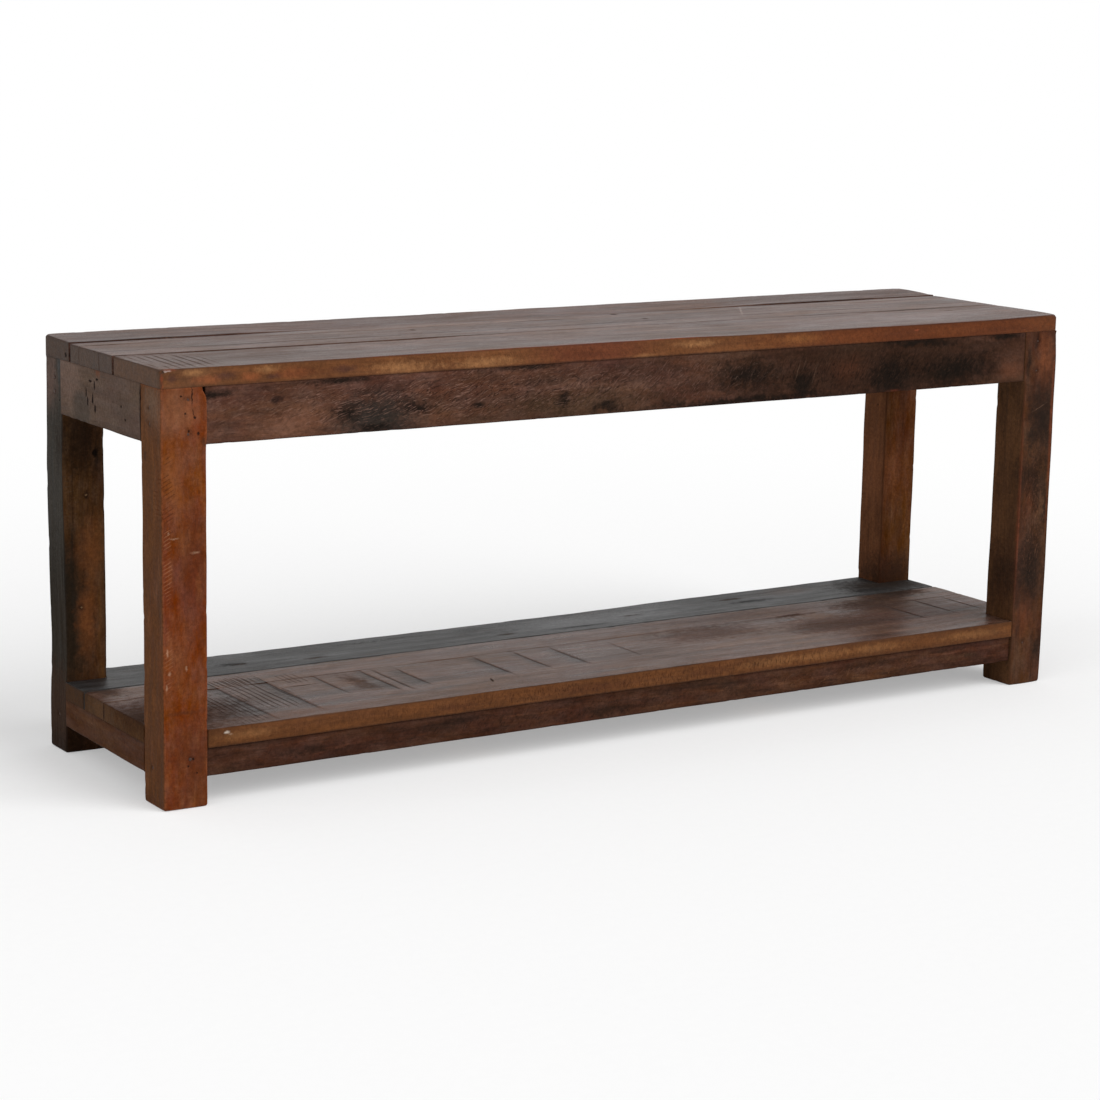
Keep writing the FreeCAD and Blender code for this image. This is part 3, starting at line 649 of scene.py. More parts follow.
front_apron = OldWood("front_apron_wood", "X", (50, 32, 25), (78, 52, 41), (102, 70, 56), 6,
                      (-260, 380), 0.9, 0.14)
on_front = front_apron.brush("front", -151)
front_apron.clouds((44, 30, 24), 0.55, 70, 18, 0.5, 0.05)
front_apron.clouds((104, 66, 48), 0.35, 60, 12, 0.54)
on_front((112, 74, 56), -440, 398, 64, 24, 0.5, 1.0, lean=(0, 0, 0.8))
on_front((52, 40, 26), -120, 392, 240, 44, 0.75, 1.2, 1.0)
on_front((38, 24, 16), 340, 410, 400, 90, 0.85, 0.8, 0.8, into=60)
on_front((74, 42, 27), 275, 412, 44, 22, 0.45, 1.0)
on_front((70, 45, 33), 534, 408, 30, 34, 0.45, 1.0)
on_front((40, 28, 22), -20, 424, 100, 22, 0.5, 1.0)
on_front((36, 36, 33), -350, 396, 76, 38, 0.8, 0.8)
for x, z, wide, tall in ((-385, 404, 24, 14), (-352, 384, 36, 8), (-300, 404, 30, 9),
                         (-545, 433, 44, 9), (-392, 437, 60, 6), (-225, 400, 12, 5),
                         (-118, 400, 15, 15), (-60, 388, 30, 10), (-165, 438, 70, 6),
                         (130, 411, 70, 24), (120, 383, 220, 9), (210, 396, 26, 22),
                         (340, 400, 50, 34), (436, 402, 90, 28), (380, 437, 90, 7),
                         (515, 437, 40, 6)):
    on_front((22, 18, 15), x, z, wide, tall, 0.9, 0.9, 1.4, 0.1)
on_front((98, 60, 42), 526, 396, 36, 18, 0.5, 1.0)
on_front((112, 52, 32), 345, 379, 16, 5, 0.6, 0.9, into=6)
on_front((24, 17, 17), -467, 421.5, 11, 6, 0.8, 0.8, deep=0.3, into=6)
on_front((30, 20, 18), -307, 405, 7, 5, 0.6, 0.9, into=6)
front_apron.scratches((124, 94, SHELF), (-280, -151, 414), (400, 40, 40), "front", 14, (20, 1.2),
                      0.56, 0.45, 0.1)
front_apron.scratches((30, 21, 18), (-200, -151, 412), (480, 40, 40), "front", 26, (16, 1.5),
                      0.56, 0.6)
front_apron.scratches((112, 84, 74), (-20, -151, 414), (240, 40, 40), "front", 42, (15, 1.1),
                      0.58, 0.4, 0.1)
front_apron.scratches((92, 64, 50), (330, -151, 412), (260, 40, 34), "front", 48, (12, 1.2),
                      0.58, 0.22, 0.1)
front_apron.scratches((12, 10, 9), (300, -151, 408), (260, 40, 34), "front", 66, (14, 1.3),
                      0.55, 0.6)
front_apron.scratches((86, 68, 58), (140, -151, 410), (60, 40, 24), "front", 30, (16, 1.2),
                      0.6, 0.5)
for x, z, tall in ((203, 414, 22), (212, 420, 12), (228, 410, 20)):
    on_front((98, 76, 62), x, z, 1.0, tall, 0.35, 1.0, 2.4, 0.2, lean=(0, 0, 0.3), into=4)
back_apron = OldWood("back_apron_wood", "X", (42, 29, 24), (68, 46, 37), (90, 62, 50), 6,
                     (260, 340), 1.0)
for x, z, wide, tall in ((-200, 405, 140, 22), (330, 398, 90, 18), (60, 430, 60, 9),
                         (-430, 392, 60, 10)):
    back_apron.stain((30, 23, 19), (x, 151, z), (wide, 40, tall), 0.75, 0.9, 2.0, 0.15)
back_apron.scratches((104, 78, 66), (0, 151, 412), (560, 40, 34), "front", 34, (9, 0.8), 0.62, 0.4)
for name, wood, y, seed in (("front_apron", front_apron, (-151, -127), 51),
                            ("back_apron", back_apron, (127, 151), 53)):
    timber(name + "_board", (long_low[0], y[0], apron_low), (long_high[0], y[1], apron_high),
           wood.wax((46, 28, 21), 0.5), seed, name, "dark_timber", worn=1.1, sway=0.4,
           tight=["upper", "left", "right"])

left_apron = OldWood("left_apron_wood", "Y", (60, 47, 39), (84, 67, 57), (104, 85, 74), 9,
                     (-640, 300), 0.8, 0.1)
on_left = left_apron.brush("left", LEFT, 5)
on_left((104, 84, 74), 84, 428, 44, 40, 0.6, 0.6, 0.6, into=40)
on_left((60, 54, 49), 50, 392, 30, 26, 0.6, 0.5, 0.6, into=40)
on_left((60, 50, 44), -60, 404, 40, 26, 0.35, 0.9, into=6)
on_left((96, 58, 40), 6, 438, 9, 9, 0.75, 0.8)
for y, z, wide, tall in ((37, 413, 2.0, 6), (33, 404, 2.4, 6), (26, 426.5, 6, 1.6),
                         (15, 423, 2.0, 6), (20, 408, 2.4, 8), (14, 398, 3.0, 6),
                         (8, 430, 4, 1.6)):
    on_left((26, 20, 19), y, z, wide, tall, 0.95, 0.5, 0.4, 0.5, into=4)
for y, z in ((-54, 410), (-64, 397)):
    left_apron.hole((LEFT, y, z), 1.8)
on_left((24, 19, 17), long_low[1] + 0.3, 412, 2.0, 34, 0.9, 0.6)
left_apron.scratches((48, 38, 33), (LEFT, 0, 410), (40, 110, 36), "left", 0, (14, 0.9), 0.62, 0.5)
right_apron = OldWood("right_apron_wood", "Y", (56, 38, 29), (82, 57, 43), (104, 76, 58), 8,
                      (650, 320), 0.9)
right_apron.stain((46, 33, 27), (RIGHT, -40, 405), (6, 60, 24), 0.6, 0.9, 1.8)
right_apron.stain((30, 24, 21), (RIGHT, 46, 420), (6, 7, 5), 0.75, 0.8, deep=0.3)
for name, wood, x, seed in (("left_apron", left_apron, (LEFT, -573), 57),
                            ("right_apron", right_apron, (573, RIGHT), 59)):
    timber(name + "_board", (x[0], long_low[1], apron_low), (x[1], long_high[1], apron_high),
           wood.wax((48, 36, 30), 0.4), seed, name, "brown_timber", worn=1.0, sway=0.3,
           tight=["upper", "front", "back"])

# Four lower rails: lighter sticks of the same old wood, tenoned into the legs just above the
# floor. The shelf lies on them. Those in front and behind stand back a little from the legs.

rail_low, rail_high = rail_box[0].z / MM, rail_box[1].z / MM
for name, y, seed, heart in (("front_rail", (-149, -125), 61, (-190, 10)),
                             ("back_rail", (125, 149), 63, (180, 90))):
    wood = OldWood(name + "_wood", "X", (40, 25, 18), (63, 39, 28), (86, 55, 38), 5, heart, 1.0,
                   0.16)
    wood.clouds((36, 25, 20), 0.5, 60, 10, 0.5, 0.05)
    for x, z, wide, tall in ((-440, 42, 60, 8), (-250, 52, 50, 6), (-60, 40, 70, 9),
                             (140, 44, 40, 10), (330, 52, 90, 6), (480, 46, 50, 9)):
        wood.stain((30, 22, 18), (x, (y[0] + y[1]) / 2, z), (wide, 30, tall), 0.65, 0.9, 2.0, 0.1)
    wood.scratches((104, 72, 52), (300, y[0], 46), (300, 40, 18), "front", 24, (14, 1.3), 0.59,
                   0.35)
    wood.scratches((24, 17, 14), (-100, y[0], 46), (500, 40, 18), "front", 50, (9, 1.2), 0.58, 0.5)
    wood.stain((104, 78, 58), (458, y[0], 46), (50, 40, 5), 0.2, 1.0, 2.0, 0.1)
    timber(name + "_stick", (long_low[0], y[0], rail_low), (long_high[0], y[1], rail_high),
           wood.wax((40, 25, 19), 0.5), seed, name, "dark_timber", worn=1.0, sway=0.3,
           tight=["upper", "left", "right"])
for name, x, seed, heart in (("left_rail", (LEFT, -573), 67, (-630, 0)),
                             ("right_rail", (573, RIGHT), 69, (640, 80))):
    wood = OldWood(name + "_wood", "Y", (46, 28, 17), (70, 42, 25), (90, 60, 38), 7, heart, 0.9)
    timber(name + "_stick", (x[0], long_low[1], rail_low), (x[1], long_high[1], rail_high),
           wood.wax((44, 29, 20), 0.4), seed, name, "brown_timber", worn=1.0, sway=0.3,
           tight=["upper", "front", "back"])

# Battens and cleats under the seat, and bearers under the shelf: plain new sticks that nobody
# sees, planed but never stained. They keep the frame's own shapes and get the look of pale
# softwood gone dusty.

for name in ("left_batten", "right_batten", "left_cleat", "right_cleat", "left_bearer",
             "right_bearer"):
    low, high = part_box(name)
    middle = (low + high) / 2 / MM
    wood = OldWood(name + "_wood", "Y", (112, 84, 56), (138, 108, 76), (160, 130, 96), 5,
                   (middle.x + 30, middle.z - 45), 1.0)
    wood.stain((84, 66, 48), middle, (30, 60, 14), 0.35, 0.9)
    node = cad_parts[name]
    node.data.materials.clear()
    node.data.materials.append(wood.wax((150, 120, 90), 0.0, (0.55, 0.8)))

# Five seat planks: two wide planks and three narrow strips, sawn from old floor boards, butted
# edge to edge and screwed from below, with open seams beside the strips. The back plank is
# thicker and stands proud. The top is waxed grey-brown, and the front edge is bare orange wood.

edges = {name: [[c / MM for c in corner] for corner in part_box(name)] for name in
         ("back_plank", "narrow_strip", "middle_strip", "inner_strip", "front_plank")}
top_dark, top_middle, top_light = (50, 35, 30), (83, 60, 51), (108, 82, 71)

back_plank = OldWood("back_plank_wood", "X", top_dark, (79, 53, 44), top_light, 9, (190, 380), 1.4)
on_top = back_plank.brush("upper", SEAT + 3)
back_plank.clouds((50, 34, 28), 0.5, 110, 14, 0.5)
on_top((52, 38, 31), -550, 118, 130, 60, 0.5, 1.0)
back_plank.side((65, 52, 44), "left", 0.9, 0.22)
back_plank.stain((24, 18, 16), (LEFT, 91, 447), (5, 4, 3.4), 0.9, 0.6, 0.6, 0.6)
on_top((54, 28, 15), 400, 122, 240, 54, 0.85, 0.9)
on_top((64, 40, 28), -150, 118, 220, 60, 0.6, 1.0)
on_top((70, 44, 28), -99, 98, 64, 26, 0.6, 1.0)
on_top((78, 50, 34), 258, 124, 64, 26, 0.6, 1.0)
# Painted shade: dark lines along the seam in front of the back plank, at its left and right parts,
# stand in for the shade in the step and gap between it and the narrow strip.
for x, wide in ((-490, 150), (420, 190)):
    back_plank.stain((36, 23, 18), (x, 84, 462), (wide, 4, 5), 0.8, 0.8)
strips = OldWood("strip_wood", "X", top_dark, top_middle, top_light, 9, (20, 390), 1.4)
on_top = strips.brush("upper", SEAT, 4)
strips.clouds((52, 36, 30), 0.5, 110, 14, 0.5)
strips.clouds((118, 92, 80), 0.3, 90, 10, 0.55)
on_top((116, 96, 88), 430, 70, 170, 34, 0.4, 1.0, into=40)
strips.side((67, 54, 46), "left", 0.9, 0.22)
# Painted shade: the same dark lines along the strip's side of the seam with the back plank.
for x, wide in ((-490, 140), (420, 190)):
    on_top((36, 23, 18), x, 79, wide, 3, 0.8, 0.8)
on_top((166, 150, 142), 266, 50, 2.6, 60, 0.4, 1.0, 2.4, lean=(0, 0.66, 0))
for x, y in ((105, 20), (95, 72), (-201, 35)):
    on_top((40, 28, 24), x, y, 5, 7, 0.7, 0.8, deep=0.3)
on_top((76, 52, 38), -195, -20, 96, 18, 0.7, 1.0, into=40)
on_top((108, 94, 89), -264, 43, 50, 6, 0.4, 1.0, 2.0, into=5)
for y, x, wide in ((55, -560, 40), (2, -570, 34), (-33, -480, 140), (-33, -200, 80)):
    on_top((40, 28, 23), x, y, wide, 2, 0.6, 0.8, deep=0.2)
front_plank = OldWood("front_plank_wood", "X", top_dark, top_middle, top_light, 10,
                      (-120, 360), 1.4)
on_top, on_edge = front_plank.brush("upper", SEAT), front_plank.brush("front", FRONT, 5)
front_plank.clouds((52, 36, 30), 0.5, 110, 16, 0.5)
front_plank.clouds((120, 95, 84), 0.35, 90, 12, 0.54)
on_top((60, 36, 22), -480, -92, 210, 90, 0.85, 0.9)
on_top((112, 94, 90), 370, -100, 250, 90, 0.5, 1.0)
for x, y, wide, deep in ((-186, -84, 120, 14), (-140, -124, 90, 9), (64, -107, 130, 15),
                         (211, -120, 150, 15), (350, -64, 130, 12), (440, -110, 110, 12)):
    on_top((104, 92, 89), x, y, wide, deep, 0.35, 1.2, 2.4)
on_top((78, 52, 36), 69, -54, 60, 16, 0.6, 1.0)
front_plank.side((94, 56, 28), "front", 0.9, 0.3)
front_plank.side((76, 55, 41), "left", 0.9, 0.22)
on_edge((66, 52, 42), -560, 450, 60, 24, 0.3, 1.0, into=40)
on_edge((128, 62, 38), -588, 459, 12, 2.4, 0.8, 0.7, 0.6)
# Painted highlight: the near-white dash just under the top arris at the front-left corner is a glint
# on the chipped corner, painted into the colour.
on_edge((190, 172, 162), -590, 457.8, 6.5, 1.1, 0.7, 0.7, 0.6, into=4)
on_edge((124, 54, 30), 0, SEAT, 640, 2.4, 0.6, 0.9, 1.6, into=4)
for x, z, wide, tall in ((-559, 455, 20, 6), (-478, 454, 20, 6), (-318, 447, 54, 10),
                         (-218, 446, 60, 9), (-12, 442, 26, 4), (60, 452, 40, 6)):
    on_edge((148, 104, 66), x, z, wide, tall, 0.65, 1.1, 2.4)
on_edge((82, 38, 15), 400, 450, 330, 30, 0.8, 0.7, 0.8, into=6)
on_edge((94, 46, 30), -80, 452, 110, 30, 0.6, 0.8, 0.8, into=6)
for x, z, wide, tall in ((-545, 447, 26, 7), (-497, 447, 18, 7), (-448, 448, 30, 8)):
    on_edge((142, 78, 44), x, z, wide, tall, 0.45, 1.0, 1.6)
for x, z, wide, tall in ((-584, 450, 9, 7), (-524, 450, 18, 7), (-470, 446, 12, 4),
                         (-388, 449, 22, 6)):
    on_edge((62, 38, 32), x, z, wide, tall, 0.65, 0.9, 1.0)
on_edge((158, 76, 42), -596, 450, 3.4, 24, 0.7, 0.8, 0.6, into=4)
for x, wide in ((370, 70), (500, 90), (-430, 60), (-90, 50)):
    on_edge((70, 35, 18), x, 448, wide, 8, 0.5, 1.0, 2.0)
on_edge((132, 84, 44), 205, 450, 40, 8, 0.5, 1.0, 2.0)
for x, wide in ((300, 70), (420, 80), (520, 60)):
    on_edge((64, 30, 15), x, 459, wide, 5, 0.75, 1.0, 1.4)
for x, z, wide in ((270, 449, 90), (430, 449, 120), (560, 451, 50)):
    on_edge((114, 64, 34), x, z, wide, 8, 0.28, 1.3, 3.0)
on_edge((150, 74, 48), 376, 451.6, 5, 2, 0.45, 1.0, 1.6, into=4)
on_top((60, 36, 27), -370, -37, 280, 7, 0.95, 0.6, 0.8, 0.2, into=5)
# Painted shade: a dark line along the foot of the front edge, where the plank sits over the apron and
# legs.
on_edge((50, 30, 20), 0, 440, 640, 2.6, 0.7, 1.0)
front_plank.scratches((58, 32, 19), (0, FRONT, 450), (620, 6, 14), "front", -60, (7, 0.8), 0.6, 0.5)
front_plank.saw_marks((-560, -96, SEAT), (54, 66, 40), 10, 0.5, -0.06, 0.5, 0.25, (42, 30, 25))
on_top((26, 19, 17), 462, -38, 95, 2.6, 0.9, 0.7, deep=0.5, into=4)
on_top((34, 24, 21), 500, -62, 12, 2.0, 0.6, 0.8, deep=0.3, into=4)
for wood in (back_plank, strips, front_plank):
    wood.scratches((52, 36, 31), (-80, 0, SEAT), (620, 160, 8), "upper", -24, (26, 1.4), 0.62, 0.3)
    wood.scratches((150, 132, 124), (100, 0, SEAT), (560, 160, 8), "upper", -38, (18, 1.2), 0.65,
                   0.3, -0.1)

closing = hollow("X", (LEFT, 0), (-450, -1.8), (500, -1.8), (RIGHT, -1))
planks = (
    ("back_plank", back_plank, 71, 6, ["front", "under"], {
        "upper": lambda x, y, z: np.interp(y, (83, BACK), (1, 0))
        * through(x, (LEFT, 1.8), (-400, 1.6), (-250, 2.8), (150, 2.8), (330, 1.4), (RIGHT, 2.2))
        + through(x, (LEFT, 0), (-200, 1.0), (200, 0.4), (RIGHT, 0)),
        "front": hollow("X", (LEFT, 0), (-400, -0.4), (-200, -1.8), (150, -1.8), (400, -0.6),
                        (RIGHT, 0))}),
    ("narrow_strip", strips, 73, 0, ["back", "front", "under"], {
        "back": hollow("X", (LEFT, 0), (-350, -1.2), (150, -1.4), (RIGHT, 0))}),
    ("middle_strip", strips, 79, 0, ["back", "front", "under"], {}),
    ("inner_strip", strips, 83, 0, ["back", "front", "under"], {
        "front": closing}),
    ("front_plank", front_plank, 89, 6, ["back", "under"], {
        "back": closing,
        "upper": lambda x, y, z: np.interp(y, (FRONT, -40), (1, 0))
        * through(x, (LEFT, 0.2), (0, 0.2), (150, 1.6), (480, 2.0), (RIGHT, 0.2))}),
)
for wood, gloss in ((back_plank, 0.06), (strips, 0.08), (front_plank, 0.08)):
    wood.wax((44, 28, 22), 0.5, (0.28, 0.5), gloss)
for name, wood, seed, corner, tight, hollows in planks:
    low, high = edges[name]
    timber(name + "_board", low, high, wood.material, seed, name, "seat_boards", worn=1.2,
           sway=0.35, corner=corner, tight=tight, hollows=hollows, step=5)

# Three shelf boards, laid on the rails and screwed from below. The wide front one is notched
# round the front legs and carries deep marks of the saw. The one behind, notched round the back
# legs, still has a skin of slate-grey paint.

shelf_low, shelf_high = (corner.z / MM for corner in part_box("front_shelf_board"))
front_edge, middle_edge = (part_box(n)[1].y / MM for n in ("front_shelf_board", "middle_shelf_board"))
play, open_seam = 0.3, 1.5
front_leg_back, back_leg_front = long_low[1] + play, long_high[1] - play
notch, end = long_high[0] - play, leg_boxes["front_right_leg"][1][0]

front_shelf = OldWood("front_shelf_wood", "X", (48, 32, 25), (83, 57, 45), (110, 80, 65), 10,
                      (-40, 10), 1.3)
on_top, on_edge = front_shelf.brush("upper", SHELF), front_shelf.brush("front", FRONT, 5)
front_shelf.clouds((58, 39, 29), 0.4, 60, 20, 0.5)
front_shelf.clouds((122, 98, 84), 0.25, 50, 14, 0.53)
front_shelf.side((84, 49, 22), "front", 0.9, 0.3)
front_shelf.side((72, 47, 24), "left", 0.95, 0.4)
on_top((92, 56, 36), -420, -135, 190, 22, 0.6, 1.0)
on_top((92, 58, 38), 140, -60, 130, 40, 0.5, 1.0)
on_top((46, 33, 27), -312, -42, 20, 56, 0.5, 1.0, 2.0, 0.2)
# Painted reflection: these three darken the right end of the front and middle boards in front of the
# back-right leg, where that leg's dark reflection lies on the waxed shelf, and make the wax there
# duller.
on_top((50, 32, 23), 490, -60, 150, 120, 0.28, 1.0, deep=0.05)
on_top((30, 20, 14), 528, 48, 60, 30, 0.85, 0.9, deep=0.02)
on_top((52, 35, 27), 445, 12, 70, 30, 0.5, 0.9, deep=0.02)
on_top((50, 29, 15), -560, -80, 120, 110, 0.85, 0.9, deep=0.1)
on_top((60, 40, 31), 60, -70, 110, 70, 0.4, 1.0)
on_top((52, 35, 27), 270, 28, 240, 50, 0.2, 0.8, deep=0.02)
on_top((56, 37, 27), 175, -30, 110, 46, 0.4, 0.8, deep=0.02)
on_top((56, 37, 27), 345, -60, 110, 64, 0.5, 0.8, deep=0.02)
on_top((46, 31, 24), -461, -96, 50, 40, 0.5, 0.9)
on_top((30, 20, 14), -576, 50, 34, 40, 0.6, 0.9, deep=0.02)
on_top((150, 126, 112), 350, -14, 46, 26, 0.4, 1.0, 1.6, 0.1, into=5)
on_top((40, 28, 23), 325, 2, 46, 10, 0.6, 1.0, 2.4, 0.1, into=5)
on_top((46, 32, 26), -432, -34, 46, 90, 0.55, 1.0)
on_top((46, 32, 26), -492, -84, 40, 86, 0.55, 1.0)
front_shelf.saw_marks((-432, -34, SHELF), (40, 90, 40), 7.2, 0.42, 0.0, 0.65, 0.3, (34, 24, 20))
front_shelf.saw_marks((-494, -84, SHELF), (36, 80, 40), 6.4, 0.4, 0.0, 0.65, 0.3, (34, 24, 20))
front_shelf.saw_marks((-372, 4, SHELF), (26, 26, 40), 7.0, 0.4, 0.0, 0.45, 0.2, (42, 30, 25))
saw_steps = ((-462, -54, 22, 90, 0.8), (-402, -46, 20, 84, 0.9), (-344, -38, 9, 46, 0.7),
             (-286, -48, 19, 52, 0.8), (-272, -52, 4, 52, 0.9), (-245, -52, 25, 42, 0.75),
             (-139, -48, 18, 50, 0.85), (-85, -44, 13, 46, 0.7), (-35, -48, 16, 50, 0.75),
             (40, -52, 8, 40, 0.4), (465, -44, 10, 46, 0.6), (518, -36, 8, 44, 0.6),
             (562, -40, 8, 40, 0.4))
# Each step gets a cut line and a band of painted shade on its left; sawn() below gives the mesh the
# same slopes.
for x, y, fade, reach, strength in saw_steps:
    front_shelf.saw_step((x, y, SHELF), (fade, reach, 5), strength)


def sawn(x, y, z):
    """How deep the saw has bitten into the wide board: a slope down to each step."""
    depth = 0 * x
    for at, middle, fade, reach, strength in saw_steps:
        slope = np.clip(1 + (x - at) / (fade * 1.5), 0, 1) * (x < at + 0.5)
        ends = np.clip((reach * 1.2 - np.abs(y - middle)) / 36, 0, 1)
        depth = np.maximum(depth, slope * ends * ends * (3 - 2 * ends) * strength * 0.9)
    return depth


on_top((28, 21, 18), -375, -29, 27, 1.8, 0.9, 0.8, 0.8, 0.5, into=4)
on_top((28, 21, 18), -540, 5, 34, 1.8, 0.8, 0.8, 0.8, 0.5, into=4)
on_top((32, 23, 19), -177, -108, 1.8, 12, 0.8, 0.7, 0.6, 0.4, lean=(0, 0.35, 0), into=4)
on_edge((180, 170, 158), -525.5, 76.4, 5.4, 2.4, 0.75, 0.8, 0.9, into=3)
on_edge((140, 118, 98), -521, 74, 3.6, 1.4, 0.6, 0.8, 0.9, into=3)
front_shelf.stain((24, 16, 12), (LEFT, front_edge, 72), (6, 1.8, 16), 0.9, 0.7, 0.6, 0.3)
front_shelf.stain((34, 22, 15), (LEFT, middle_edge, 70), (6, 1.6, 14), 0.7, 0.7, 0.6, 0.2)
for x, wide in ((180, 70), (250, 60), (330, 80), (480, 70), (-500, 50)):
    on_edge((122, 82, 48), x, 72, wide, 8, 0.6, 1.0, 2.0)
for x, wide in ((-60, 90), (-250, 40), (90, 40)):
    on_edge((66, 36, 22), x, 70, wide, 8, 0.45, 1.0, 2.0)
# Painted shade: a dark line along the foot of the shelf's front edge, over the rail.
on_edge((44, 27, 18), 0, 62, 640, 2.6, 0.7, 1.0)
front_shelf.scratches((54, 31, 19), (0, FRONT, 72), (620, 40, 14), "front", 82, (7, 1.3), 0.55, 0.6)
front_shelf.saw_marks((-440, 20, SHELF), (40, 18, 6), 6.4, 0.45, 0.02, 0.6, 0.3, (36, 26, 22))
# Painted reflection: more of the back-right leg's dark reflection, painted on the middle of the
# shelf's right end.
on_top((46, 31, 24), 490, 28, 120, 44, 0.75, 1.0, into=8)
back_shelf = OldWood("back_shelf_wood", "X", (36, 34, 33), (58, 57, 57), (80, 79, 79), 7,
                     (150, 0), 1.3)
on_top = back_shelf.brush("upper", SHELF)
back_shelf.clouds((38, 36, 34), 0.42, 70, 16, 0.5)
back_shelf.clouds((74, 52, 38), 0.35, 50, 10, 0.58)
# Painted reflection: the dark, dull patch in front of the back-right leg stands in for that leg's
# dark reflection on the slate board.
on_top((34, 24, 17), 545, 98, 95, 60, 0.9, 0.9, deep=0.02)
on_top((60, 38, 24), 405, 124, 64, 30, 0.6, 1.0)
on_top((100, 100, 102), 355, 92, 80, 30, 0.4, 1.0)
# Painted shade: darker wood in the back-left corner of the slate board, round the back-left leg.
on_top((34, 24, 18), -566, 120, 44, 60, 0.5, 1.0)
on_top((106, 106, 107), 90, 100, 190, 60, 0.9, 1.0)
back_shelf.side((58, 35, 14), "left", 0.95, 0.4)
for x, y, wide, deep in ((-42, 82, 16, 6), (-390, 95, 14, 5), (310, 118, 30, 6), (-300, 82, 20, 6),
                         (150, 100, 26, 5)):
    on_top((62, 44, 32), x, y, wide, deep, 0.7, 0.9, 2.0, 0.1, into=4)
for x, y, wide, deep in ((-400, 100, 26, 10), (-180, 130, 60, 8), (60, 78, 60, 7),
                         (330, 96, 50, 9), (510, 76, 50, 16)):
    on_top((34, 32, 31), x, y, wide, deep, 0.6, 0.9, 2.4, 0.1, into=4)
boards = (
    ("front_shelf_board", front_shelf, 97, "shelf_boards", (FRONT, front_edge), ["back", "under"],
     {"upper": sawn},
     [(-end - 1, -notch, -153, front_leg_back), (notch, end + 1, -153, front_leg_back)]),
    ("middle_shelf_board", front_shelf, 101, "shelf_boards", (front_edge + play, middle_edge),
     ["front", "under"], {}, []),
    ("back_shelf_board", back_shelf, 103, "slate_timber", (middle_edge + open_seam, BACK),
     ["under"],
     {"upper": lambda x, y, z: np.clip((y - middle_edge) / 95, 0, 1)
      * through(x, (LEFT, 1), (-300, 2.8), (50, 3.2), (300, 1.4), (RIGHT, 0.4))},
     [(-end - 1, -notch, back_leg_front, 153), (notch, end + 1, back_leg_front, 153)]),
)
front_shelf.wax((50, 32, 24), 0.5, (0.24, 0.46), 0.074)
back_shelf.wax((34, 30, 28), 0.5, (0.34, 0.56), 0.08)
for name, wood, seed, slot, (y0, y1), tight, hollows, notches in boards:
    timber(name + "_board", (-end, y0, shelf_low), (end, y1, shelf_high), wood.material, seed,
           name, slot, worn=1.2, sway=0.35, tight=tight, hollows=hollows, notches=notches,
           cuts=[at for at, *_ in saw_steps] if name == "front_shelf_board" else (), step=5)

# Nails and screws: iron nails with slightly domed heads pin the tenons, driven from outside the
# legs until they lie below the surface. Slotted steel screws come up through the battens, cleats,
# bearers and side rails into the boards, and four tie the cleats to the side aprons.


def fastener_tree(name, sizes):
    """A node tree that sets one fastener at each point of a mesh, turned the way it is driven."""
    tree = bpy.data.node_groups.new(name, "GeometryNodeTree")
    face = tree.interface
    face.new_socket("Points", in_out="INPUT", socket_type="NodeSocketGeometry")
    for label, value in sizes.items():
        face.new_socket(label, in_out="INPUT", socket_type="NodeSocketFloat").default_value = value
    face.new_socket("Seed", in_out="INPUT", socket_type="NodeSocketInt").default_value = 5
    face.new_socket("Metal", in_out="INPUT", socket_type="NodeSocketMaterial")
    face.new_socket("Fasteners", in_out="OUTPUT", socket_type="NodeSocketGeometry")
    return tree, tree.nodes.new("NodeGroupInput").outputs, tree.nodes.new("NodeGroupOutput").inputs


def part(tree, kind, sockets={}, prefix="GeometryNode", output=0, **settings):
    """Adds a geometry node and gives its output."""
    return add(tree, kind, sockets, prefix, **settings).outputs[output]


def moved(tree, geometry, height):
    rise = part(tree, "CombineXYZ", {2: height}, "ShaderNode")
    return part(tree, "Transform", {"Geometry": geometry, "Translation": rise})


def finish_tree(tree, take, give, head, sides, point):
    """Puts a pointed shank under the head and sets one fastener at each point of the mesh,
    turned to that point's way and spun by chance."""
    shank = part(tree, "MeshCone", {"Vertices": sides, "Radius Top": point,
                                    "Radius Bottom": take["Shank Radius"],
                                    "Depth": take["Length"]})
    under_head = part(tree, "Math", {0: take["Sink"], 1: take["Head Height"]}, "ShaderNode")
    fastener = part(tree, "JoinGeometry", {0: [head, moved(tree, shank, under_head)]})
    way = part(tree, "InputNamedAttribute", {"Name": "way"}, data_type="FLOAT_VECTOR")
    turn = part(tree, "AlignRotationToVector", {"Vector": way}, "FunctionNode")
    spin = part(tree, "RandomValue", {"Max": (0.12, 0.12, math.tau), "Seed": take["Seed"]},
                "FunctionNode", data_type="FLOAT_VECTOR")
    both = part(tree, "RotateRotation", {"Rotation": turn, "Rotate By": spin}, "FunctionNode",
                rotation_space="LOCAL")
    each = part(tree, "InstanceOnPoints", {"Points": take["Points"], "Instance": fastener,
                                           "Rotation": both})
    solid = part(tree, "RealizeInstances", {"Geometry": each})
    tree.links.new(part(tree, "SetMaterial", {"Geometry": solid, "Material": take["Metal"]}),
                   give[0])


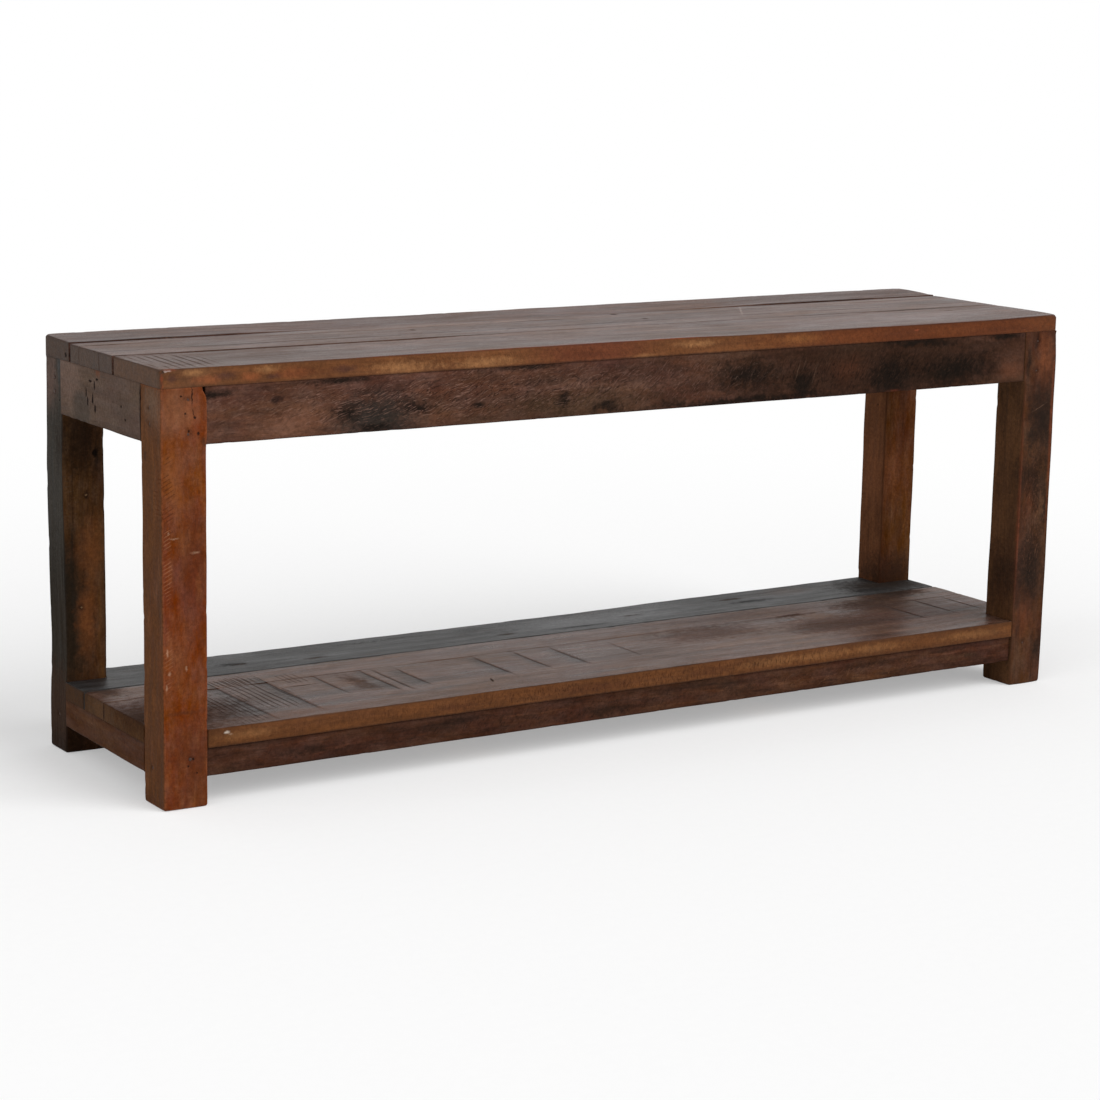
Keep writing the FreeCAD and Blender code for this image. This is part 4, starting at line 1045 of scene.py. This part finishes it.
nail_tree, take, give = fastener_tree(
    "iron_nail", {"Head Radius": 2.3 * MM, "Head Height": 0.9 * MM, "Shank Radius": 1.4 * MM,
                  "Length": 33 * MM, "Sink": 0.7 * MM})
g = nail_tree
dome = part(g, "MeshUVSphere", {"Segments": 14, "Rings": 8, "Radius": take["Head Radius"]})
squash = part(g, "CombineXYZ", {0: 1.0, 1: 1.0, 2: 0.36}, "ShaderNode")
flat = part(g, "Transform", {"Geometry": dome, "Scale": squash})
beaten = part(g, "TexNoise", {"Scale": 900.0, "Detail": 2.0}, "ShaderNode", output=1)
dent = part(g, "VectorMath", {0: beaten, 1: (0.7 * MM, 0.7 * MM, 0.4 * MM)}, "ShaderNode",
            operation="MULTIPLY")
rough = part(g, "SetPosition", {"Geometry": flat, "Offset": dent})
head_rise = part(g, "Math", {0: take["Sink"], 1: take["Head Height"]}, "ShaderNode")
finish_tree(g, take, give, moved(g, rough, head_rise), 8, 0.4 * MM)

screw_tree, take, give = fastener_tree(
    "slotted_screw", {"Head Radius": 4 * MM, "Head Height": 2.6 * MM, "Shank Radius": 2 * MM,
                      "Length": 32 * MM, "Slot": 1 * MM, "Sink": 0.5 * MM})
g = screw_tree
cone = part(g, "MeshCone", {"Vertices": 24, "Radius Top": take["Shank Radius"],
                            "Radius Bottom": take["Head Radius"], "Depth": take["Head Height"]})
slot_size = part(g, "CombineXYZ", {0: 20 * MM, 1: take["Slot"], 2: 2.4 * MM}, "ShaderNode")
slotted = part(g, "MeshBoolean", {0: cone, 1: part(g, "MeshCube", {"Size": slot_size})},
               operation="DIFFERENCE")
finish_tree(g, take, give, moved(g, slotted, take["Sink"]), 12, 0.3 * MM)


def metal(name, bright, rust_colour, rusty, dull):
    """Steel or iron with rust in patches and a fine grain."""
    made = bpy.data.materials.new(name)
    t = bare_tree(made)
    place = add(t, "TexCoord").outputs["Object"]
    patches = ramp(t, noise(t, place, 420, 4, 0.7), 0.62 - rusty * 0.3, 0.75 - rusty * 0.3)
    colour = over(t, patches, paint(*bright), paint(*rust_colour))
    bump = add(t, "Bump", {"Strength": 0.6, "Distance": 0.0003,
                           "Height": noise(t, place, 1500, 3, 0.6)})
    shader = add(t, "BsdfPrincipled", {
        "Base Color": colour, "Metallic": maths(t, "SUBTRACT", 1.0, patches),
        "Roughness": ramp(t, patches, 0.0, 1.0, dull, 0.85), "Normal": bump.outputs[0]})
    add(t, "OutputMaterial", {"Surface": shader.outputs[0]})
    return made


def drive(name, tree, spots, finish, slot, *nodes):
    """Runs a fastener tree over points, each with the way it is driven, and keeps the mesh."""
    points = bpy.data.meshes.new(name + "_points")
    points.from_pydata([[c * MM for c in spot] for spot, way in spots], [], [])
    ways = points.attributes.new("way", "FLOAT_VECTOR", "POINT")
    ways.data.foreach_set("vector", [c for spot, way in spots for c in way])
    holder = set_down(name + "_points", points)
    modifier = holder.modifiers.new("fasteners", "NODES")
    modifier.node_group = tree
    for item in tree.interface.items_tree:
        if item.in_out == "INPUT" and item.name == "Metal":
            modifier[item.identifier] = finish
    made = bpy.data.meshes.new_from_object(
        holder.evaluated_get(bpy.context.evaluated_depsgraph_get()))
    holder.modifiers.clear()
    bpy.data.objects.remove(holder)
    piece = set_down(name, made)
    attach(piece, "root")
    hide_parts(*nodes)


nail_spots = [(spot, [-c for c in outward(side)])
              for name in leg_boxes for side, *spot in nails_in(name)]
iron = metal("old_iron", (70, 64, 60), (58, 34, 24), 0.9, 0.45)
drive("nails", nail_tree, nail_spots, iron, "iron_nails", "apron_nails", "rail_nails")

# The screws stand in rows, one for each board, where battens, cleats, bearers and rails cross it.
up, under_seat, under_shelf = (0, 0, 1), 418, 31
batten, cleat, bearer, rail = 200, 562, 200, 585
seat_rows = [(edges[n][0][1] + edges[n][1][1]) / 2
             for n in ("narrow_strip", "middle_strip", "inner_strip")]
seat_rows += [(edges["back_plank"][0][1] + long_high[1]) / 2,
              (edges["front_plank"][1][1] + long_low[1]) / 2]
shelf_rows = [(middle_edge + open_seam + long_high[1]) / 2, (front_edge + play + middle_edge) / 2,
              (front_edge + long_low[1]) / 2]
cleat_face, cleat_middle, cleat_rows = 551, 429, (-48, 48)
screw_spots = [((x, y, under_seat), up) for x in (-cleat, -batten, batten, cleat)
               for y in seat_rows]
screw_spots += [((x, y, under_shelf), up) for x in (-rail, -bearer, bearer, rail)
                for y in shelf_rows]
screw_spots += [((side * cleat_face, y, cleat_middle), (side, 0, 0))
                for side in (-1, 1) for y in cleat_rows]
steel = metal("old_steel", (150, 146, 140), (88, 60, 44), 0.35, 0.35)
drive("screws", screw_tree, screw_spots, steel, "steel_screws",
      "seat_screws", "shelf_screws", "cleat_screws")

# Floor, light and camera: a pale studio floor that runs into a white background. One broad soft
# light stands in front of the bench on the right, above eye level, and a weaker one on the left.


def in_sight(tree):
    """1 where the camera, a gloss or a glass looks, so that each sees the white behind."""
    ray = add(tree, "LightPath").outputs
    mirrored = maths(tree, "MAXIMUM", ray["Is Glossy Ray"], ray["Is Transmission Ray"])
    return maths(tree, "MAXIMUM", ray["Is Camera Ray"], mirrored)


half = 30
floor_mesh = bpy.data.meshes.new("floor")
floor_mesh.from_pydata([(-half, -half, 0), (half, -half, 0), (half, half, 0), (-half, half, 0)],
                       [], [(0, 1, 2, 3)])
floor = set_down("floor", floor_mesh)
pale = bpy.data.materials.new("pale_floor")
t = bare_tree(pale)
place = add(t, "TexCoord").outputs["Object"]
speckled = over(t, noise(t, place, 90, 4), paint(246, 246, 246), paint(250, 250, 250))
shadowed = add(t, "BsdfDiffuse", {"Color": speckled})
white = add(t, "Emission", {"Color": (1, 1, 1, 1), "Strength": 1.0})
# From 0.9 m to 2.2 m out, the floor that the camera sees goes over to the white behind.
far_off = maths(t, "MULTIPLY", in_sight(t), ramp(t, length_of(t, place), 0.9, 2.2, 0.35, 1.0))
both = add(t, "MixShader", {0: far_off, 1: shadowed.outputs[0], 2: white.outputs[0]})
add(t, "OutputMaterial", {"Surface": both.outputs[0]})
floor_mesh.materials.append(pale)

world = bpy.data.worlds.new("studio")
bpy.context.scene.world = world
t = bare_tree(world)
lit, seen = 0.45, 1.0
level = maths(t, "MULTIPLY_ADD", in_sight(t), seen - lit, lit)
background = add(t, "Background", {"Color": (1, 1, 1, 1), "Strength": level})
add(t, "OutputWorld", {"Surface": background.outputs[0]})

for name, toward, strength, spread in (("key", (0.42, -0.72, 0.62), 2.3, 50),
                                       ("fill", (-0.85, -0.25, 0.45), 0.9, 70)):
    lamp = bpy.data.lights.new(name, "SUN")
    lamp.energy = strength
    lamp.angle = math.radians(spread)
    set_down(name, lamp).rotation_euler = Vector(toward).to_track_quat("Z", "Y").to_euler()

# The camera's lens, place and directions were solved from the bench's straight edges.
camera = bpy.data.cameras.new("camera")
camera.lens, camera.sensor_width, camera.shift_x = 91.642, 36, 0.04
camera.clip_end = 100
right = Vector((0.85326194, -0.52128377, 0.01439746))
upward = Vector((0.08968025, 0.17387838, 0.98067516))
forward = Vector((0.51371345, 0.83548162, -0.19511266))
turned = Matrix((right, upward, -forward)).transposed().to_4x4()
stand = set_down("camera", camera)
stand.matrix_world = Matrix.Translation((-1.755619, -2.700946, 0.834132)) @ turned
bpy.context.scene.camera = stand
bpy.context.scene.view_settings.view_transform = "Standard"
